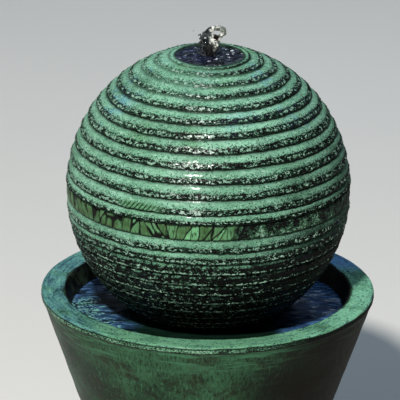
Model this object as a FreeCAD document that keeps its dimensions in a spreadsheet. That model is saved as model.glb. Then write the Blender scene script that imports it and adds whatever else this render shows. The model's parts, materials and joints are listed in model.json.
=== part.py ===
"""Garden ball fountain: a ribbed glazed ball stands on a pump cover inside a tapered glazed pot.

A pump on the pot's floor lifts water up a riser pipe to a dish in the top of the ball.
The water wells out of the dish and runs down over the ribs, back into the pot.

Frame: the origin is on the ground under the middle of the pot, +Z is up, and the front is -Y.
Lengths are millimetres and angles are degrees.
"""

import FreeCAD, Part
import math
import os
import re

import Sketcher

DIMENSIONS = {
    # Pot: a tapered wall, a thick flat rim and four pads under the base
    "rim_radius": 225,
    "rim_height": 290,
    "rim_width": 33,
    "rim_band": 9,  # height of the upright edge of the rim
    "rim_step": 2.5,  # how far that edge stands out from the tapered wall
    "rim_round": 4,
    "base_radius": 129,
    "base_edge": 5,
    "floor_radius": 113,  # inside the pot
    "floor_height": 25,
    "floor_round": 15,
    "pad_height": 4,
    "pad_radius": 14,
    "pad_circle": 105,
    "pad_count": 4,
    # Stopper low in the back wall: the pump's lead leaves through it, and it drains the pot
    "bung_height": 50,
    "bung_hole_radius": 11,
    "bung_radius": 10.95,
    "bung_tip": 112,  # distances from the pot's axis
    "bung_seat": 137,
    "bung_seat_radius": 17,
    "bung_head_radius": 15,
    "bung_head_depth": 8,
    "lead_radius": 3.6,
    # Ball: two thrown halves and the band that covers their joint
    "ball_radius": 191,  # over the crests of the ribs
    "ball_half_height": 195,
    "ball_rise": 142.7,  # its centre above the rim
    "cavity_radius": 180,
    "rib_depth": 3,
    "crest_lead": 0.9,  # latitude from a groove up to the crest above it
    "upper_groove": 73.5,  # latitude of the first groove below the opening
    "upper_pitch": 6,
    "upper_ribs": 12,
    "lower_pitch": 5.45,
    "lower_ribs": 11,
    "band_top": 4,  # latitudes of the band's edges
    "band_bottom": -2.3,
    "band_thickness": 6,
    "band_recess": 1,
    "half_joint": 3,  # height of the joint between the halves above the ball's centre
    "foot_height": 252,
    "foot_radius": 70,
    "foot_hole_radius": 16,
    "foot_floor": 12,
    "opening_radius": 45,
    "lip_radius": 48.5,
    "lip_drop": 3,
    "ledge_height": 612,
    "ledge_radius": 41,
    # Dish in the opening, with its fitting and the nozzle
    "dish_flange": 3,
    "dish_wall": 3.5,
    "dish_floor": 584,
    "dish_floor_thickness": 4,
    "fitting_radius": 10.5,
    "fitting_flange_radius": 17,
    "fitting_flange": 4,
    "fitting_length": 22,  # below the dish
    "fitting_socket": 15,
    "washer_thickness": 2,
    "nut_corner_radius": 16,
    "nut_height": 8,
    "nozzle_base_radius": 11,
    "nozzle_base_height": 8,
    "nozzle_radius": 8,
    "nozzle_bore": 5.5,
    "nozzle_shoulder": 4,  # height of the slope from the base to the barrel
    "nozzle_tip": 1,  # width of the bevel round its mouth
    "nozzle_top": 634,
    # Riser pipe and the grommet it passes through in the ball's foot
    "pipe_radius": 8,
    "pipe_bore": 6.5,
    "pipe_bottom": 118,
    "grommet_flange_radius": 20,
    "grommet_flange": 3,
    # Pump cover: an upturned pot with four arches at its foot
    "rest_gap": 0.3,  # between pieces that only stand on each other
    "cover_base_radius": 98,
    "cover_top_radius": 76,
    "cover_wall": 9,
    "cover_plate": 12,
    "cover_hole_radius": 26,
    "arch_half_width": 26,
    "arch_spring": 20,  # height of the arch's straight sides
    "gasket_thickness": 4,
    "gasket_inner_radius": 50,
    "gasket_radius": 68,
    # Pump: distances along its shaft are from the ball's axis, positive towards the front
    "pump_axis": 61,
    "pump_half": 30,
    "pump_corner": 8,
    "motor_front": -12,
    "motor_length": 52,
    "well_radius": 14,
    "well_depth": 40,
    "bush_radius": 4,
    "bush_length": 4,
    "shaft_radius": 2,
    "shaft_front": 13.5,
    "rotor_bore": 2.05,
    "magnet_radius": 12.5,
    "magnet_back": -50,
    "magnet_front": -16,
    "impeller_radius": 17,
    "impeller_hub_radius": 6,
    "impeller_disc": 2,
    "impeller_gap": 1,
    "impeller_front": 6,
    "vane_half": 1,
    "vane_count": 6,
    "volute_radius": 24,
    "volute_bore": 20,
    "volute_front": 14,
    "volute_wall": 4,
    "flange_half": 27.5,
    "flange_thickness": 4,
    "spigot_radius": 8.5,
    "spigot_bore": 6,
    "spigot_top": 38,  # above the pump's axis
    "inlet_radius": 3,
    "inlet_circle": 10,
    "inlet_count": 6,
    "seal_inner_radius": 21,
    "seal_radius": 23.2,
    "seal_thickness": 1.6,
    "screw_offset": 22.5,
    "screw_radius": 1.5,
    "screw_hole_radius": 1.6,
    "screw_depth": 8,  # into the motor block
    "screw_head_radius": 2.8,
    "screw_head": 2.4,
    "gland_offset": 17,  # above the pump's axis
    "gland_radius": 6,
    "gland_seat": 8,
    "gland_flange_radius": 8,
    "gland_flange": 3,
    "gland_tail": 10,
    "gland_tail_radius": 4.8,
    "gland_bore": 3.3,
    "gland_blind": 2,  # thickness of its closed end
    "cup_circle": 18,
    "cup_centre": 38,
    "cup_radius": 9,
    "cup_neck_radius": 4.5,
    "cup_lip": 2,
    # Strainer over the pump's inlet, with the dial that sets the flow
    "strainer_front": 40,
    "strainer_wall": 2,
    "strainer_slot_half": 1.3,
    "strainer_slot_half_height": 18,
    "strainer_slot_first": -4,
    "strainer_slot_run": 36,
    "strainer_slots": 7,
    "spigot_slot_half": 9,
    "window_radius": 5,
    "window_circle": 13,
    "window_count": 4,
    "dial_radius": 20,
    "dial_thickness": 2.5,
    "dial_spindle_radius": 4,
    "dial_hole_radius": 4.05,
    "dial_catch_radius": 5.5,
    "dial_catch": 1.5,
    "dial_grip": 3,
    "dial_grip_half": 1.5,
    "dial_grip_reach": 18,
    # Hose fittings between the pump and the riser pipe
    "collar_radius": 11,
    "collar_bottom": 93,
    "collar_top": 101,
    "barb_radius": 7,
    "barb_top": 116,
    "barb_bore": 5,
    "coupling_radius": 11.5,
    "coupling_top": 150,
    "coupling_bore": 8.06,
    "clamp_radius": 12.3,
    "clamp_bottom": 105,
    "clamp_width": 7,
    "clamp_box_length": 7,
    "clamp_box_width": 9,
    "clamp_screw_radius": 2,
    "clamp_screw_length": 16,
    "clamp_head_radius": 3.6,
    "clamp_head": 3,
}

UPRIGHT = FreeCAD.Rotation()
FORWARD = FreeCAD.Rotation(FreeCAD.Vector(1, 0, 0), 90)  # turns a piece's own +Z towards the front
BACKWARD = FreeCAD.Rotation(FreeCAD.Vector(1, 0, 0), -90)

BALL_CENTRE = "(rim_height + ball_rise)"
COVER_TOP = "(foot_height - rest_gap - gasket_thickness)"
MOTOR_BACK = "(motor_front - motor_length)"
PUMP_BOTTOM = "(pump_axis - pump_half)"
FITTING_TOP = "(dish_floor + washer_thickness + fitting_flange)"

doc = FreeCAD.newDocument("ball_fountain")
sheet = doc.addObject("Spreadsheet::Sheet", "dims")
for row, (alias, size) in enumerate(DIMENSIONS.items(), start=1):
    sheet.set(f"A{row}", str(size))
    sheet.setAlias(f"A{row}", alias)
doc.recompute()

pieces = []  # the sub-parts, in the order they are made


def cell(word):
    """A dimension's cell in the sheet, or any other word as it is."""
    return f"dims.{word[0]}" if word[0] in DIMENSIONS else word[0]


def bound(expression):
    """The expression with each dimension's name pointing at its cell in the sheet."""
    return re.sub(r"[a-z_]+", cell, expression)


def number(expression):
    """The expression's value now, for a sketch's first guess and for counts."""
    return float(sheet.evalExpression(bound(expression)))


def bind(thing, **expressions):
    """Ties properties to the sheet. A double underscore in a name stands for a dot."""
    for name, expression in expressions.items():
        thing.setExpression(name.replace("__", "."), bound(expression))


# ---- Sketches and features -------------------------------------------------------------------------


def new_body(label, across="0", height="0", rotation=UPRIGHT, many=False):
    """A body whose own origin is at a height, moved back by across. many allows separate solids."""
    body = doc.addObject("PartDesign::Body", label)
    body.AllowCompound = many
    body.Placement.Rotation = rotation
    bind(body, Placement__Base__y=across, Placement__Base__z=height)
    doc.recompute()
    pieces.append(body)
    return body


def new_sketch(body, role, offset="0"):
    """A sketch on one of the body's own planes, moved along the plane's normal by offset."""
    plane = next(feature for feature in body.Origin.OriginFeatures if feature.Role == role)
    sketch = body.newObject("Sketcher::SketchObject", f"{body.Label}_sketch")
    sketch.AttachmentSupport = [(plane, "")]
    sketch.MapMode = "FlatFace"
    bind(sketch, AttachmentOffset__Base__z=offset)
    return sketch


def pin_point(sketch, edge, end, across, up):
    """Holds one point of an edge at a place worked out from the sheet."""
    for kind, expression in (("DistanceX", across), ("DistanceY", up)):
        index = sketch.addConstraint(Sketcher.Constraint(kind, edge, end, number(expression)))
        sketch.setExpression(f"Constraints[{index}]", bound(expression))


def arc_about_axis(start, end):
    """The arc whose centre is on the vertical axis, and whether it runs from end to start."""
    height = (end.dot(end) - start.dot(start)) / (2 * (end.y - start.y))
    centre = FreeCAD.Vector(0, height, 0)
    first, last = (math.atan2(point.y - height, point.x) for point in (start, end))
    backwards = (last - first) % math.tau > math.pi
    if backwards:
        first, last = last, first
    whole = Part.Circle(centre, FreeCAD.Vector(0, 0, 1), (start - centre).Length)
    return Part.ArcOfCircle(whole, first, last), backwards


def outline(sketch, corners):
    """A closed outline of (across, up) corners. One with "arc" after them starts an arc about the axis."""
    first = sketch.GeometryCount
    points = [FreeCAD.Vector(number(corner[0]), number(corner[1]), 0) for corner in corners]
    backwards = []
    for i, corner in enumerate(corners):
        start, end = points[i], points[(i + 1) % len(points)]
        if "arc" in corner:
            edge, reverse = arc_about_axis(start, end)
        else:
            edge, reverse = Part.LineSegment(start, end), False
        sketch.addGeometry(edge, False)
        backwards.append(reverse)
    for i, corner in enumerate(corners):
        after = (i + 1) % len(corners)
        leave, arrive = (1, 2) if backwards[i] else (2, 1)
        next_start = 2 if backwards[after] else 1
        joined = Sketcher.Constraint("Coincident", first + i, leave, first + after, next_start)
        sketch.addConstraint(joined)
        pin_point(sketch, first + i, arrive, corner[0], corner[1])
        if "arc" in corner:
            sketch.addConstraint(Sketcher.Constraint("PointOnObject", first + i, 3, -2))


def circle(sketch, radius, across="0", up="0"):
    """A circle whose centre and radius come from the sheet."""
    centre = FreeCAD.Vector(number(across), number(up), 0)
    edge = sketch.addGeometry(Part.Circle(centre, FreeCAD.Vector(0, 0, 1), number(radius)), False)
    pin_point(sketch, edge, 3, across, up)
    index = sketch.addConstraint(Sketcher.Constraint("Radius", edge, number(radius)))
    sketch.setExpression(f"Constraints[{index}]", bound(radius))


def rectangle(sketch, left, right, low, high):
    """An upright rectangle between two places across and two places up."""
    outline(sketch, [(left, low), (right, low), (right, high), (left, high)])


def revolve(body, corners):
    """Turns an outline, (distance from the axis, height), about the body's own vertical axis."""
    sketch = new_sketch(body, "XZ_Plane")
    outline(sketch, corners)
    feature = body.newObject("PartDesign::Revolution", f"{body.Label}_turned")
    feature.Profile = sketch
    feature.ReferenceAxis = (sketch, ["V_Axis"])
    feature.Angle = 360
    doc.recompute()
    return feature


def turned(label, corners, across="0", height="0", rotation=UPRIGHT):
    """A piece made on a lathe or a wheel."""
    body = new_body(label, across, height, rotation)
    revolve(body, corners)
    return body


def ring(label, inner, outer, low, high, height="0", rotation=UPRIGHT):
    """A plain ring or tube about the body's own axis."""
    corners = [(inner, low), (outer, low), (outer, high), (inner, high)]
    return turned(label, corners, height=height, rotation=rotation)


def pad(body, sketch, length, backwards=False):
    """Raises a sketch along its plane's normal."""
    feature = body.newObject("PartDesign::Pad", f"{body.Label}_pad")
    feature.Profile = sketch
    feature.Reversed = backwards
    bind(feature, Length=length)
    doc.recompute()
    return feature


def pocket(body, sketch, length=None, backwards=False):
    """Cuts a sketch against its plane's normal, or both ways through everything. It has to cut something."""
    before = body.Shape.Volume
    feature = body.newObject("PartDesign::Pocket", f"{body.Label}_pocket")
    feature.Profile = sketch
    feature.Reversed = backwards
    if length is None:
        feature.Type = "ThroughAll"
        feature.Midplane = True
    else:
        bind(feature, Length=length)
    doc.recompute()
    if body.Shape.Volume > before - 1:
        raise RuntimeError(f"a pocket in {body.Label} cuts nothing")
    return feature


def repeat_round(body, features, count, angle="360", axis="N_Axis"):
    """Repeats features about an axis of the first one's sketch: its normal, or its own vertical, V_Axis."""
    pattern = body.newObject("PartDesign::PolarPattern", f"{body.Label}_pattern")
    pattern.Originals = features
    pattern.Axis = (features[0].Profile[0], [axis])
    bind(pattern, Angle=angle, Occurrences=count)
    body.Tip = pattern
    doc.recompute()
    return pattern


def round_edges(body, radius, circles):
    """Rounds the circular edges that lie at the (radius, height) pairs given."""
    base = body.Tip
    names = []
    for edge_radius, height in circles:
        for index, edge in enumerate(base.Shape.Edges, start=1):
            curve = edge.Curve
            same = isinstance(curve, Part.Circle) and abs(curve.Radius - number(edge_radius)) < 0.01
            if same and abs(curve.Center.z - number(height)) < 0.01:
                names.append(f"Edge{index}")
    if len(names) != len(circles):
        raise RuntimeError(f"{body.Label} has {len(names)} of its {len(circles)} edges to round")
    feature = body.newObject("PartDesign::Fillet", f"{body.Label}_fillet")
    feature.Base = (base, names)
    bind(feature, Radius=radius)
    doc.recompute()


def rounded_block(body, half, low, length):
    """A square block about the body's own axis, with its four long edges rounded."""
    sketch = new_sketch(body, "XY_Plane", low)
    rectangle(sketch, f"-{half}", half, f"-{half}", half)
    base = pad(body, sketch, length)
    upright = [
        f"Edge{index}"
        for index, edge in enumerate(base.Shape.Edges, start=1)
        if abs(edge.Vertexes[0].Z - edge.Vertexes[-1].Z) > 1
    ]
    feature = body.newObject("PartDesign::Fillet", f"{body.Label}_fillet")
    feature.Base = (base, upright)
    bind(feature, Radius="pump_corner")
    doc.recompute()


# ---- Pot -------------------------------------------------------------------------------------------


def make_pot():
    """The glazed basin: tapered wall, flat rim, and the stopper's hole low at the back."""
    pot = new_body("pot")
    wall_top = "rim_height - rim_band - rim_step"
    revolve(
        pot,
        [
            ("0", "pad_height"),
            ("base_radius - base_edge", "pad_height"),
            ("base_radius", "pad_height + base_edge"),
            ("rim_radius - rim_step", wall_top),
            ("rim_radius", "rim_height - rim_band"),
            ("rim_radius", "rim_height"),
            ("rim_radius - rim_width", "rim_height"),
            ("floor_radius", "floor_height"),
            ("0", "floor_height"),
        ],
    )
    round_edges(pot, "rim_round", [("rim_radius", "rim_height"), ("rim_radius - rim_width", "rim_height")])
    round_edges(pot, "floor_round", [("floor_radius", "floor_height")])
    hole = new_sketch(pot, "XZ_Plane")
    circle(hole, "bung_hole_radius", up="bung_height")
    pocket(pot, hole, "rim_radius")
    seat = new_sketch(pot, "XZ_Plane", "-bung_seat")
    circle(seat, "bung_seat_radius", up="bung_height")
    pocket(pot, seat, "rim_radius")


def make_foot_pads():
    """Rubber pads glued under the pot."""
    pads = new_body("foot_pads", many=True)
    sketch = new_sketch(pads, "XY_Plane")
    circle(sketch, "pad_radius", across="pad_circle * cos(45)", up="pad_circle * sin(45)")
    repeat_round(pads, [pad(pads, sketch, "pad_height")], "pad_count")


def make_cable_bung():
    """A rubber stopper with a hole for the lead. Its own +Z points out of the back of the pot."""
    turned(
        "cable_bung",
        [
            ("lead_radius", "bung_tip"),
            ("bung_radius", "bung_tip"),
            ("bung_radius", "bung_seat + rest_gap"),
            ("bung_head_radius", "bung_seat + rest_gap"),
            ("bung_head_radius", "bung_seat + rest_gap + bung_head_depth"),
            ("lead_radius", "bung_seat + rest_gap + bung_head_depth"),
        ],
        height="bung_height",
        rotation=BACKWARD,
    )


# ---- Ball ------------------------------------------------------------------------------------------


def on_ball(latitude, depth="0"):
    """The outline's point at a latitude, a depth below the crests."""
    across = f"(ball_radius - ({depth})) * cos({latitude})"
    up = f"{BALL_CENTRE} + (ball_half_height - ({depth})) * sin({latitude})"
    return across, up


def on_cavity(height):
    """The point of the hollow's round wall at a height above the ball's centre."""
    return f"sqrt(cavity_radius ^ 2 - ({height}) ^ 2)", f"{BALL_CENTRE} + ({height})"


def ribs(first_groove, pitch, count):
    """From the lowest groove up: each groove, and the crest that overhangs it."""
    points = []
    for k in reversed(range(int(number(count)))):
        groove = f"({first_groove} - {k} * {pitch})"
        points += [on_ball(groove, "rib_depth"), on_ball(f"{groove} + crest_lead")]
    return points


def make_ball_upper_shell():
    """The upper half, from the joint to the opening, with a ledge for the dish."""
    rebate = "ball_radius - band_recess - band_thickness"
    lip_top = on_ball("acos(lip_radius / ball_radius)")
    turned(
        "ball_upper_shell",
        [
            on_cavity("half_joint"),
            (rebate, f"{BALL_CENTRE} + half_joint"),
            (rebate, on_ball("band_top")[1]),
            on_ball("band_top"),
            *ribs("upper_groove", "upper_pitch", "upper_ribs"),
            lip_top,
            ("opening_radius", f"{lip_top[1]} - lip_drop"),
            ("opening_radius", "ledge_height"),
            ("ledge_radius", "ledge_height"),
            ("ledge_radius", f"{BALL_CENTRE} + sqrt(cavity_radius ^ 2 - ledge_radius ^ 2)", "arc"),
        ],
    )


def make_ball_lower_shell():
    """The lower half, from the joint to the flat foot."""
    rebate = "ball_radius - band_recess - band_thickness"
    inner_floor = f"(foot_height + foot_floor - {BALL_CENTRE})"
    turned(
        "ball_lower_shell",
        [
            (rebate, f"{BALL_CENTRE} + half_joint"),
            (*on_cavity("half_joint"), "arc"),
            on_cavity(inner_floor),
            ("foot_hole_radius", "foot_height + foot_floor"),
            ("foot_hole_radius", "foot_height"),
            ("foot_radius", "foot_height"),
            *ribs("(band_bottom - lower_pitch)", "lower_pitch", "lower_ribs"),
            (on_ball("band_bottom", "rib_depth")[0], on_ball("band_bottom")[1]),
            (rebate, on_ball("band_bottom")[1]),
        ],
    )


def make_joint_band():
    """The band luted over the joint between the two halves."""
    low, high = on_ball("band_bottom")[1], on_ball("band_top")[1]
    ring("joint_band", "ball_radius - band_recess - band_thickness", "ball_radius - band_recess", low, high)


def make_top_dish():
    """The dish that hangs in the ball's opening."""
    bottom = "dish_floor - dish_floor_thickness"
    turned(
        "top_dish",
        [
            ("fitting_radius", bottom),
            ("ledge_radius", bottom),
            ("ledge_radius", "ledge_height"),
            ("opening_radius", "ledge_height"),
            ("opening_radius", "ledge_height + dish_flange"),
            ("ledge_radius - dish_wall", "ledge_height + dish_flange"),
            ("ledge_radius - dish_wall", "dish_floor"),
            ("fitting_radius", "dish_floor"),
        ],
    )


def make_dish_fitting():
    """The threaded fitting through the dish's floor: flange above, socket for the riser pipe below."""
    bottom = "dish_floor - dish_floor_thickness - fitting_length"
    turned(
        "dish_fitting",
        [
            ("pipe_radius", bottom),
            ("fitting_radius", bottom),
            ("fitting_radius", "dish_floor + washer_thickness"),
            ("fitting_flange_radius", "dish_floor + washer_thickness"),
            ("fitting_flange_radius", FITTING_TOP),
            ("pipe_bore", FITTING_TOP),
            ("pipe_bore", f"{bottom} + fitting_socket"),
            ("pipe_radius", f"{bottom} + fitting_socket"),
        ],
    )


def make_lock_nut():
    """The hexagonal nut that clamps the fitting under the dish."""
    prism = doc.addObject("Part::Prism", "lock_nut_prism")
    prism.Polygon = 6
    hole = doc.addObject("Part::Cylinder", "lock_nut_hole")
    bottom = "dish_floor - dish_floor_thickness - nut_height"
    bind(prism, Circumradius="nut_corner_radius", Height="nut_height", Placement__Base__z=bottom)
    bind(hole, Radius="fitting_radius", Height="nut_height", Placement__Base__z=bottom)
    nut = doc.addObject("Part::Cut", "lock_nut")
    nut.Base, nut.Tool = prism, hole
    pieces.append(nut)


def make_bubbler_nozzle():
    """The short nozzle that stands a little above the water in the dish."""
    turned(
        "bubbler_nozzle",
        [
            ("nozzle_bore", FITTING_TOP),
            ("nozzle_base_radius", FITTING_TOP),
            ("nozzle_base_radius", f"{FITTING_TOP} + nozzle_base_height"),
            ("nozzle_radius", f"{FITTING_TOP} + nozzle_base_height + nozzle_shoulder"),
            ("nozzle_radius", "nozzle_top - nozzle_tip"),
            ("nozzle_radius - nozzle_tip", "nozzle_top"),
            ("nozzle_bore", "nozzle_top"),
        ],
    )


def make_riser():
    """The pipe up through the ball, and the grommet that holds it in the foot."""
    top = "dish_floor - dish_floor_thickness - fitting_length + fitting_socket"
    ring("riser_pipe", "pipe_bore", "pipe_radius", "pipe_bottom", top)
    floor_top = "foot_height + foot_floor"
    turned(
        "foot_grommet",
        [
            ("pipe_radius", "foot_height - grommet_flange"),
            ("grommet_flange_radius", "foot_height - grommet_flange"),
            ("grommet_flange_radius", "foot_height"),
            ("foot_hole_radius", "foot_height"),
            ("foot_hole_radius", floor_top),
            ("grommet_flange_radius", floor_top),
            ("grommet_flange_radius", f"{floor_top} + grommet_flange"),
            ("pipe_radius", f"{floor_top} + grommet_flange"),
        ],
    )


# ---- Pump cover ------------------------------------------------------------------------------------


def make_pump_cover():
    """The stand that the ball rests on. It also hides the pump, and its arches let the water in."""
    low = "floor_height + rest_gap"
    cover = new_body("pump_cover")
    revolve(
        cover,
        [
            ("cover_base_radius - cover_wall", low),
            ("cover_base_radius", low),
            ("cover_top_radius", COVER_TOP),
            ("cover_hole_radius", COVER_TOP),
            ("cover_hole_radius", f"{COVER_TOP} - cover_plate"),
            ("cover_top_radius - cover_wall", f"{COVER_TOP} - cover_plate"),
        ],
    )
    arch = new_sketch(cover, "XZ_Plane")
    spring = f"{low} + arch_spring"
    outline(
        arch,
        [
            ("arch_half_width", "floor_height"),
            ("arch_half_width", spring, "arc"),
            ("0", f"{spring} + arch_half_width", "arc"),
            ("-arch_half_width", spring),
            ("-arch_half_width", "floor_height"),
        ],
    )
    repeat_round(cover, [pocket(cover, arch)], "2", angle="90", axis="V_Axis")


def make_seat_gasket():
    """The rubber ring under the ball's foot."""
    ring("seat_gasket", "gasket_inner_radius", "gasket_radius", COVER_TOP, f"{COVER_TOP} + gasket_thickness")


# ---- Pump: each piece's own +Z runs along the shaft, towards the front ------------------------------


def on_shaft(label):
    """A body on the pump's shaft, with its own +Z towards the front."""
    return new_body(label, height="pump_axis", rotation=FORWARD)


def make_motor_block():
    """The sealed motor, with the rotor's well, the bush's seat, the screw holes and the gland's seat."""
    block = on_shaft("motor_block")
    rounded_block(block, "pump_half", MOTOR_BACK, "motor_length")
    well = new_sketch(block, "XY_Plane", "motor_front")
    circle(well, "well_radius")
    pocket(block, well, "well_depth")
    seat = new_sketch(block, "XY_Plane", "motor_front - well_depth")
    circle(seat, "bush_radius")
    pocket(block, seat, "bush_length")
    gland = new_sketch(block, "XY_Plane", MOTOR_BACK)
    circle(gland, "gland_radius", up="gland_offset")
    pocket(block, gland, "gland_seat", backwards=True)
    screw = new_sketch(block, "XY_Plane", "motor_front")
    circle(screw, "screw_radius", across="screw_offset", up="screw_offset")
    repeat_round(block, [pocket(block, screw, "screw_depth")], "4")


def make_cable_gland():
    """The rubber gland at the back of the motor, open for the lead."""
    seat_end = f"{MOTOR_BACK} + gland_seat"
    flange_back = f"{MOTOR_BACK} - gland_flange"
    tail_end = f"{flange_back} - gland_tail"
    turned(
        "cable_gland",
        [
            ("0", f"{seat_end} - gland_blind"),
            ("gland_bore", f"{seat_end} - gland_blind"),
            ("gland_bore", tail_end),
            ("gland_tail_radius", tail_end),
            ("gland_radius", flange_back),
            ("gland_flange_radius", flange_back),
            ("gland_flange_radius", MOTOR_BACK),
            ("gland_radius", MOTOR_BACK),
            ("gland_radius", seat_end),
            ("0", seat_end),
        ],
        height="pump_axis + gland_offset",
        rotation=FORWARD,
    )


def make_rotor():
    """The magnet and the impeller, which spin together on the fixed shaft."""
    ring("rotor_magnet", "rotor_bore", "magnet_radius", "magnet_back", "magnet_front", "pump_axis", FORWARD)
    impeller = on_shaft("impeller")
    disc_back = "motor_front + impeller_gap"
    disc_front = f"{disc_back} + impeller_disc"
    revolve(
        impeller,
        [
            ("rotor_bore", "magnet_front"),
            ("impeller_hub_radius", "magnet_front"),
            ("impeller_hub_radius", disc_back),
            ("impeller_radius", disc_back),
            ("impeller_radius", disc_front),
            ("impeller_hub_radius", disc_front),
            ("impeller_hub_radius", "impeller_front"),
            ("rotor_bore", "impeller_front"),
        ],
    )
    vane = new_sketch(impeller, "XY_Plane", disc_front)
    rectangle(vane, "impeller_hub_radius - vane_half", "impeller_radius", "-vane_half", "vane_half")
    repeat_round(impeller, [pad(impeller, vane, f"impeller_front - ({disc_front})")], "vane_count")


def make_shaft():
    """The ceramic shaft and the two rubber bushes that hold its ends."""
    well_end = "motor_front - well_depth"
    shaft = on_shaft("rotor_shaft")
    section = new_sketch(shaft, "XY_Plane", f"{well_end} - bush_length")
    circle(section, "shaft_radius")
    pad(shaft, section, f"shaft_front - ({well_end} - bush_length)")
    bushes = new_body("shaft_bushes", height="pump_axis", rotation=FORWARD, many=True)
    for low in (f"{well_end} - bush_length", "volute_front - bush_length"):
        washer = new_sketch(bushes, "XY_Plane", low)
        circle(washer, "shaft_radius")
        circle(washer, "bush_radius")
        pad(bushes, washer, "bush_length")


def make_volute_cover():
    """The impeller's chamber: a flange on the motor, a round chamber, and the outlet spigot on top."""
    cover = on_shaft("volute_cover")
    flange = new_sketch(cover, "XY_Plane", "motor_front")
    rectangle(flange, "-flange_half", "flange_half", "-flange_half", "flange_half")
    pad(cover, flange, "flange_thickness")
    chamber = new_sketch(cover, "XY_Plane", "motor_front")
    circle(chamber, "volute_radius")
    pad(cover, chamber, "volute_front - motor_front")
    spigot = new_sketch(cover, "XZ_Plane")
    circle(spigot, "spigot_radius")
    pad(cover, spigot, "spigot_top", backwards=True)
    hollow = new_sketch(cover, "XY_Plane", "motor_front")
    circle(hollow, "volute_bore")
    pocket(cover, hollow, "volute_front - volute_wall - motor_front", backwards=True)
    outlet = new_sketch(cover, "XZ_Plane", "-spigot_top")
    circle(outlet, "spigot_bore")
    pocket(cover, outlet, "spigot_top", backwards=True)
    groove = new_sketch(cover, "XY_Plane", "motor_front")
    circle(groove, "seal_inner_radius")
    circle(groove, "seal_radius")
    pocket(cover, groove, "seal_thickness", backwards=True)
    eye = new_sketch(cover, "XY_Plane", "volute_front")
    circle(eye, "bush_radius")
    pocket(cover, eye, "volute_wall")
    inlet = new_sketch(cover, "XY_Plane", "volute_front")
    circle(inlet, "inlet_radius", across="inlet_circle")
    repeat_round(cover, [pocket(cover, inlet, "volute_wall")], "inlet_count")
    screw = new_sketch(cover, "XY_Plane", "motor_front + flange_thickness")
    circle(screw, "screw_hole_radius", across="screw_offset", up="screw_offset")
    repeat_round(cover, [pocket(cover, screw, "flange_thickness")], "4")
    seal_top = "motor_front + seal_thickness"
    ring("volute_seal", "seal_inner_radius", "seal_radius", "motor_front", seal_top, "pump_axis", FORWARD)


def make_volute_screws():
    """The four screws that hold the volute cover to the motor."""
    screws = new_body("volute_screws", height="pump_axis", rotation=FORWARD, many=True)
    shank = new_sketch(screws, "XY_Plane", "motor_front - screw_depth")
    circle(shank, "screw_radius", across="screw_offset", up="screw_offset")
    shank_pad = pad(screws, shank, "screw_depth + flange_thickness")
    head = new_sketch(screws, "XY_Plane", "motor_front + flange_thickness")
    circle(head, "screw_head_radius", across="screw_offset", up="screw_offset")
    repeat_round(screws, [shank_pad, pad(screws, head, "screw_head")], "4")


def make_suction_cups():
    """Four rubber feet that hold the pump on the pot's floor."""
    cups = new_body("suction_cups", across="cup_centre", height="floor_height", many=True)
    lip = new_sketch(cups, "XY_Plane")
    circle(lip, "cup_radius", across="cup_circle", up="cup_circle")
    lip_pad = pad(cups, lip, "cup_lip")
    neck = new_sketch(cups, "XY_Plane", "cup_lip")
    circle(neck, "cup_neck_radius", across="cup_circle", up="cup_circle")
    neck_pad = pad(cups, neck, f"{PUMP_BOTTOM} - floor_height - cup_lip")
    repeat_round(cups, [lip_pad, neck_pad], "4")


def make_strainer_cover():
    """The slotted cage over the inlet. It pulls off forwards, so its top wall is open behind the spigot."""
    cage = on_shaft("strainer_cover")
    back = "(motor_front + rest_gap)"
    inner = "pump_half - strainer_wall"
    rounded_block(cage, "pump_half", back, f"strainer_front - {back}")
    hollow = new_sketch(cage, "XY_Plane", back)
    rectangle(hollow, f"-({inner})", inner, f"-({inner})", inner)
    pocket(cage, hollow, f"strainer_front - strainer_wall - {back}", backwards=True)
    gap = new_sketch(cage, "XZ_Plane", "-pump_half")
    rectangle(gap, "-spigot_slot_half", "spigot_slot_half", back, "spigot_slot_half")
    pocket(cage, gap, "strainer_wall", backwards=True)
    slot = new_sketch(cage, "YZ_Plane")
    low, high = "strainer_slot_first - strainer_slot_half", "strainer_slot_first + strainer_slot_half"
    rectangle(slot, "-strainer_slot_half_height", "strainer_slot_half_height", low, high)
    cut = pocket(cage, slot)
    row = cage.newObject("PartDesign::LinearPattern", "strainer_cover_slots")
    row.Originals = [cut]
    row.Direction = (slot, ["V_Axis"])
    bind(row, Length="strainer_slot_run", Occurrences="strainer_slots")
    cage.Tip = row
    doc.recompute()
    spindle = new_sketch(cage, "XY_Plane", "strainer_front")
    circle(spindle, "dial_hole_radius")
    pocket(cage, spindle, "strainer_wall")
    window = new_sketch(cage, "XY_Plane", "strainer_front")
    circle(window, "window_radius", across="window_circle")
    repeat_round(cage, [pocket(cage, window, "strainer_wall")], "window_count")


def make_flow_dial():
    """The disc that turns over the strainer's windows, on a spindle with a catch behind the wall."""
    dial = on_shaft("flow_dial")
    back = "(strainer_front + rest_gap)"
    front = f"({back} + dial_thickness)"
    inside = "(strainer_front - strainer_wall - rest_gap)"
    revolve(
        dial,
        [
            ("0", f"{inside} - dial_catch"),
            ("dial_catch_radius", f"{inside} - dial_catch"),
            ("dial_catch_radius", inside),
            ("dial_spindle_radius", inside),
            ("dial_spindle_radius", back),
            ("dial_radius", back),
            ("dial_radius", front),
            ("0", front),
        ],
    )
    grip = new_sketch(dial, "XY_Plane", front)
    rectangle(grip, "-dial_grip_half", "dial_grip_half", "-dial_grip_reach", "dial_grip_reach")
    pad(dial, grip, "dial_grip")
    window = new_sketch(dial, "XY_Plane", front)
    angle = 360 / number("window_count") / 2
    circle(window, "window_radius", f"window_circle * cos({angle})", f"window_circle * sin({angle})")
    repeat_round(dial, [pocket(dial, window, "dial_thickness")], "window_count")


# ---- Hose fittings ---------------------------------------------------------------------------------


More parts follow.
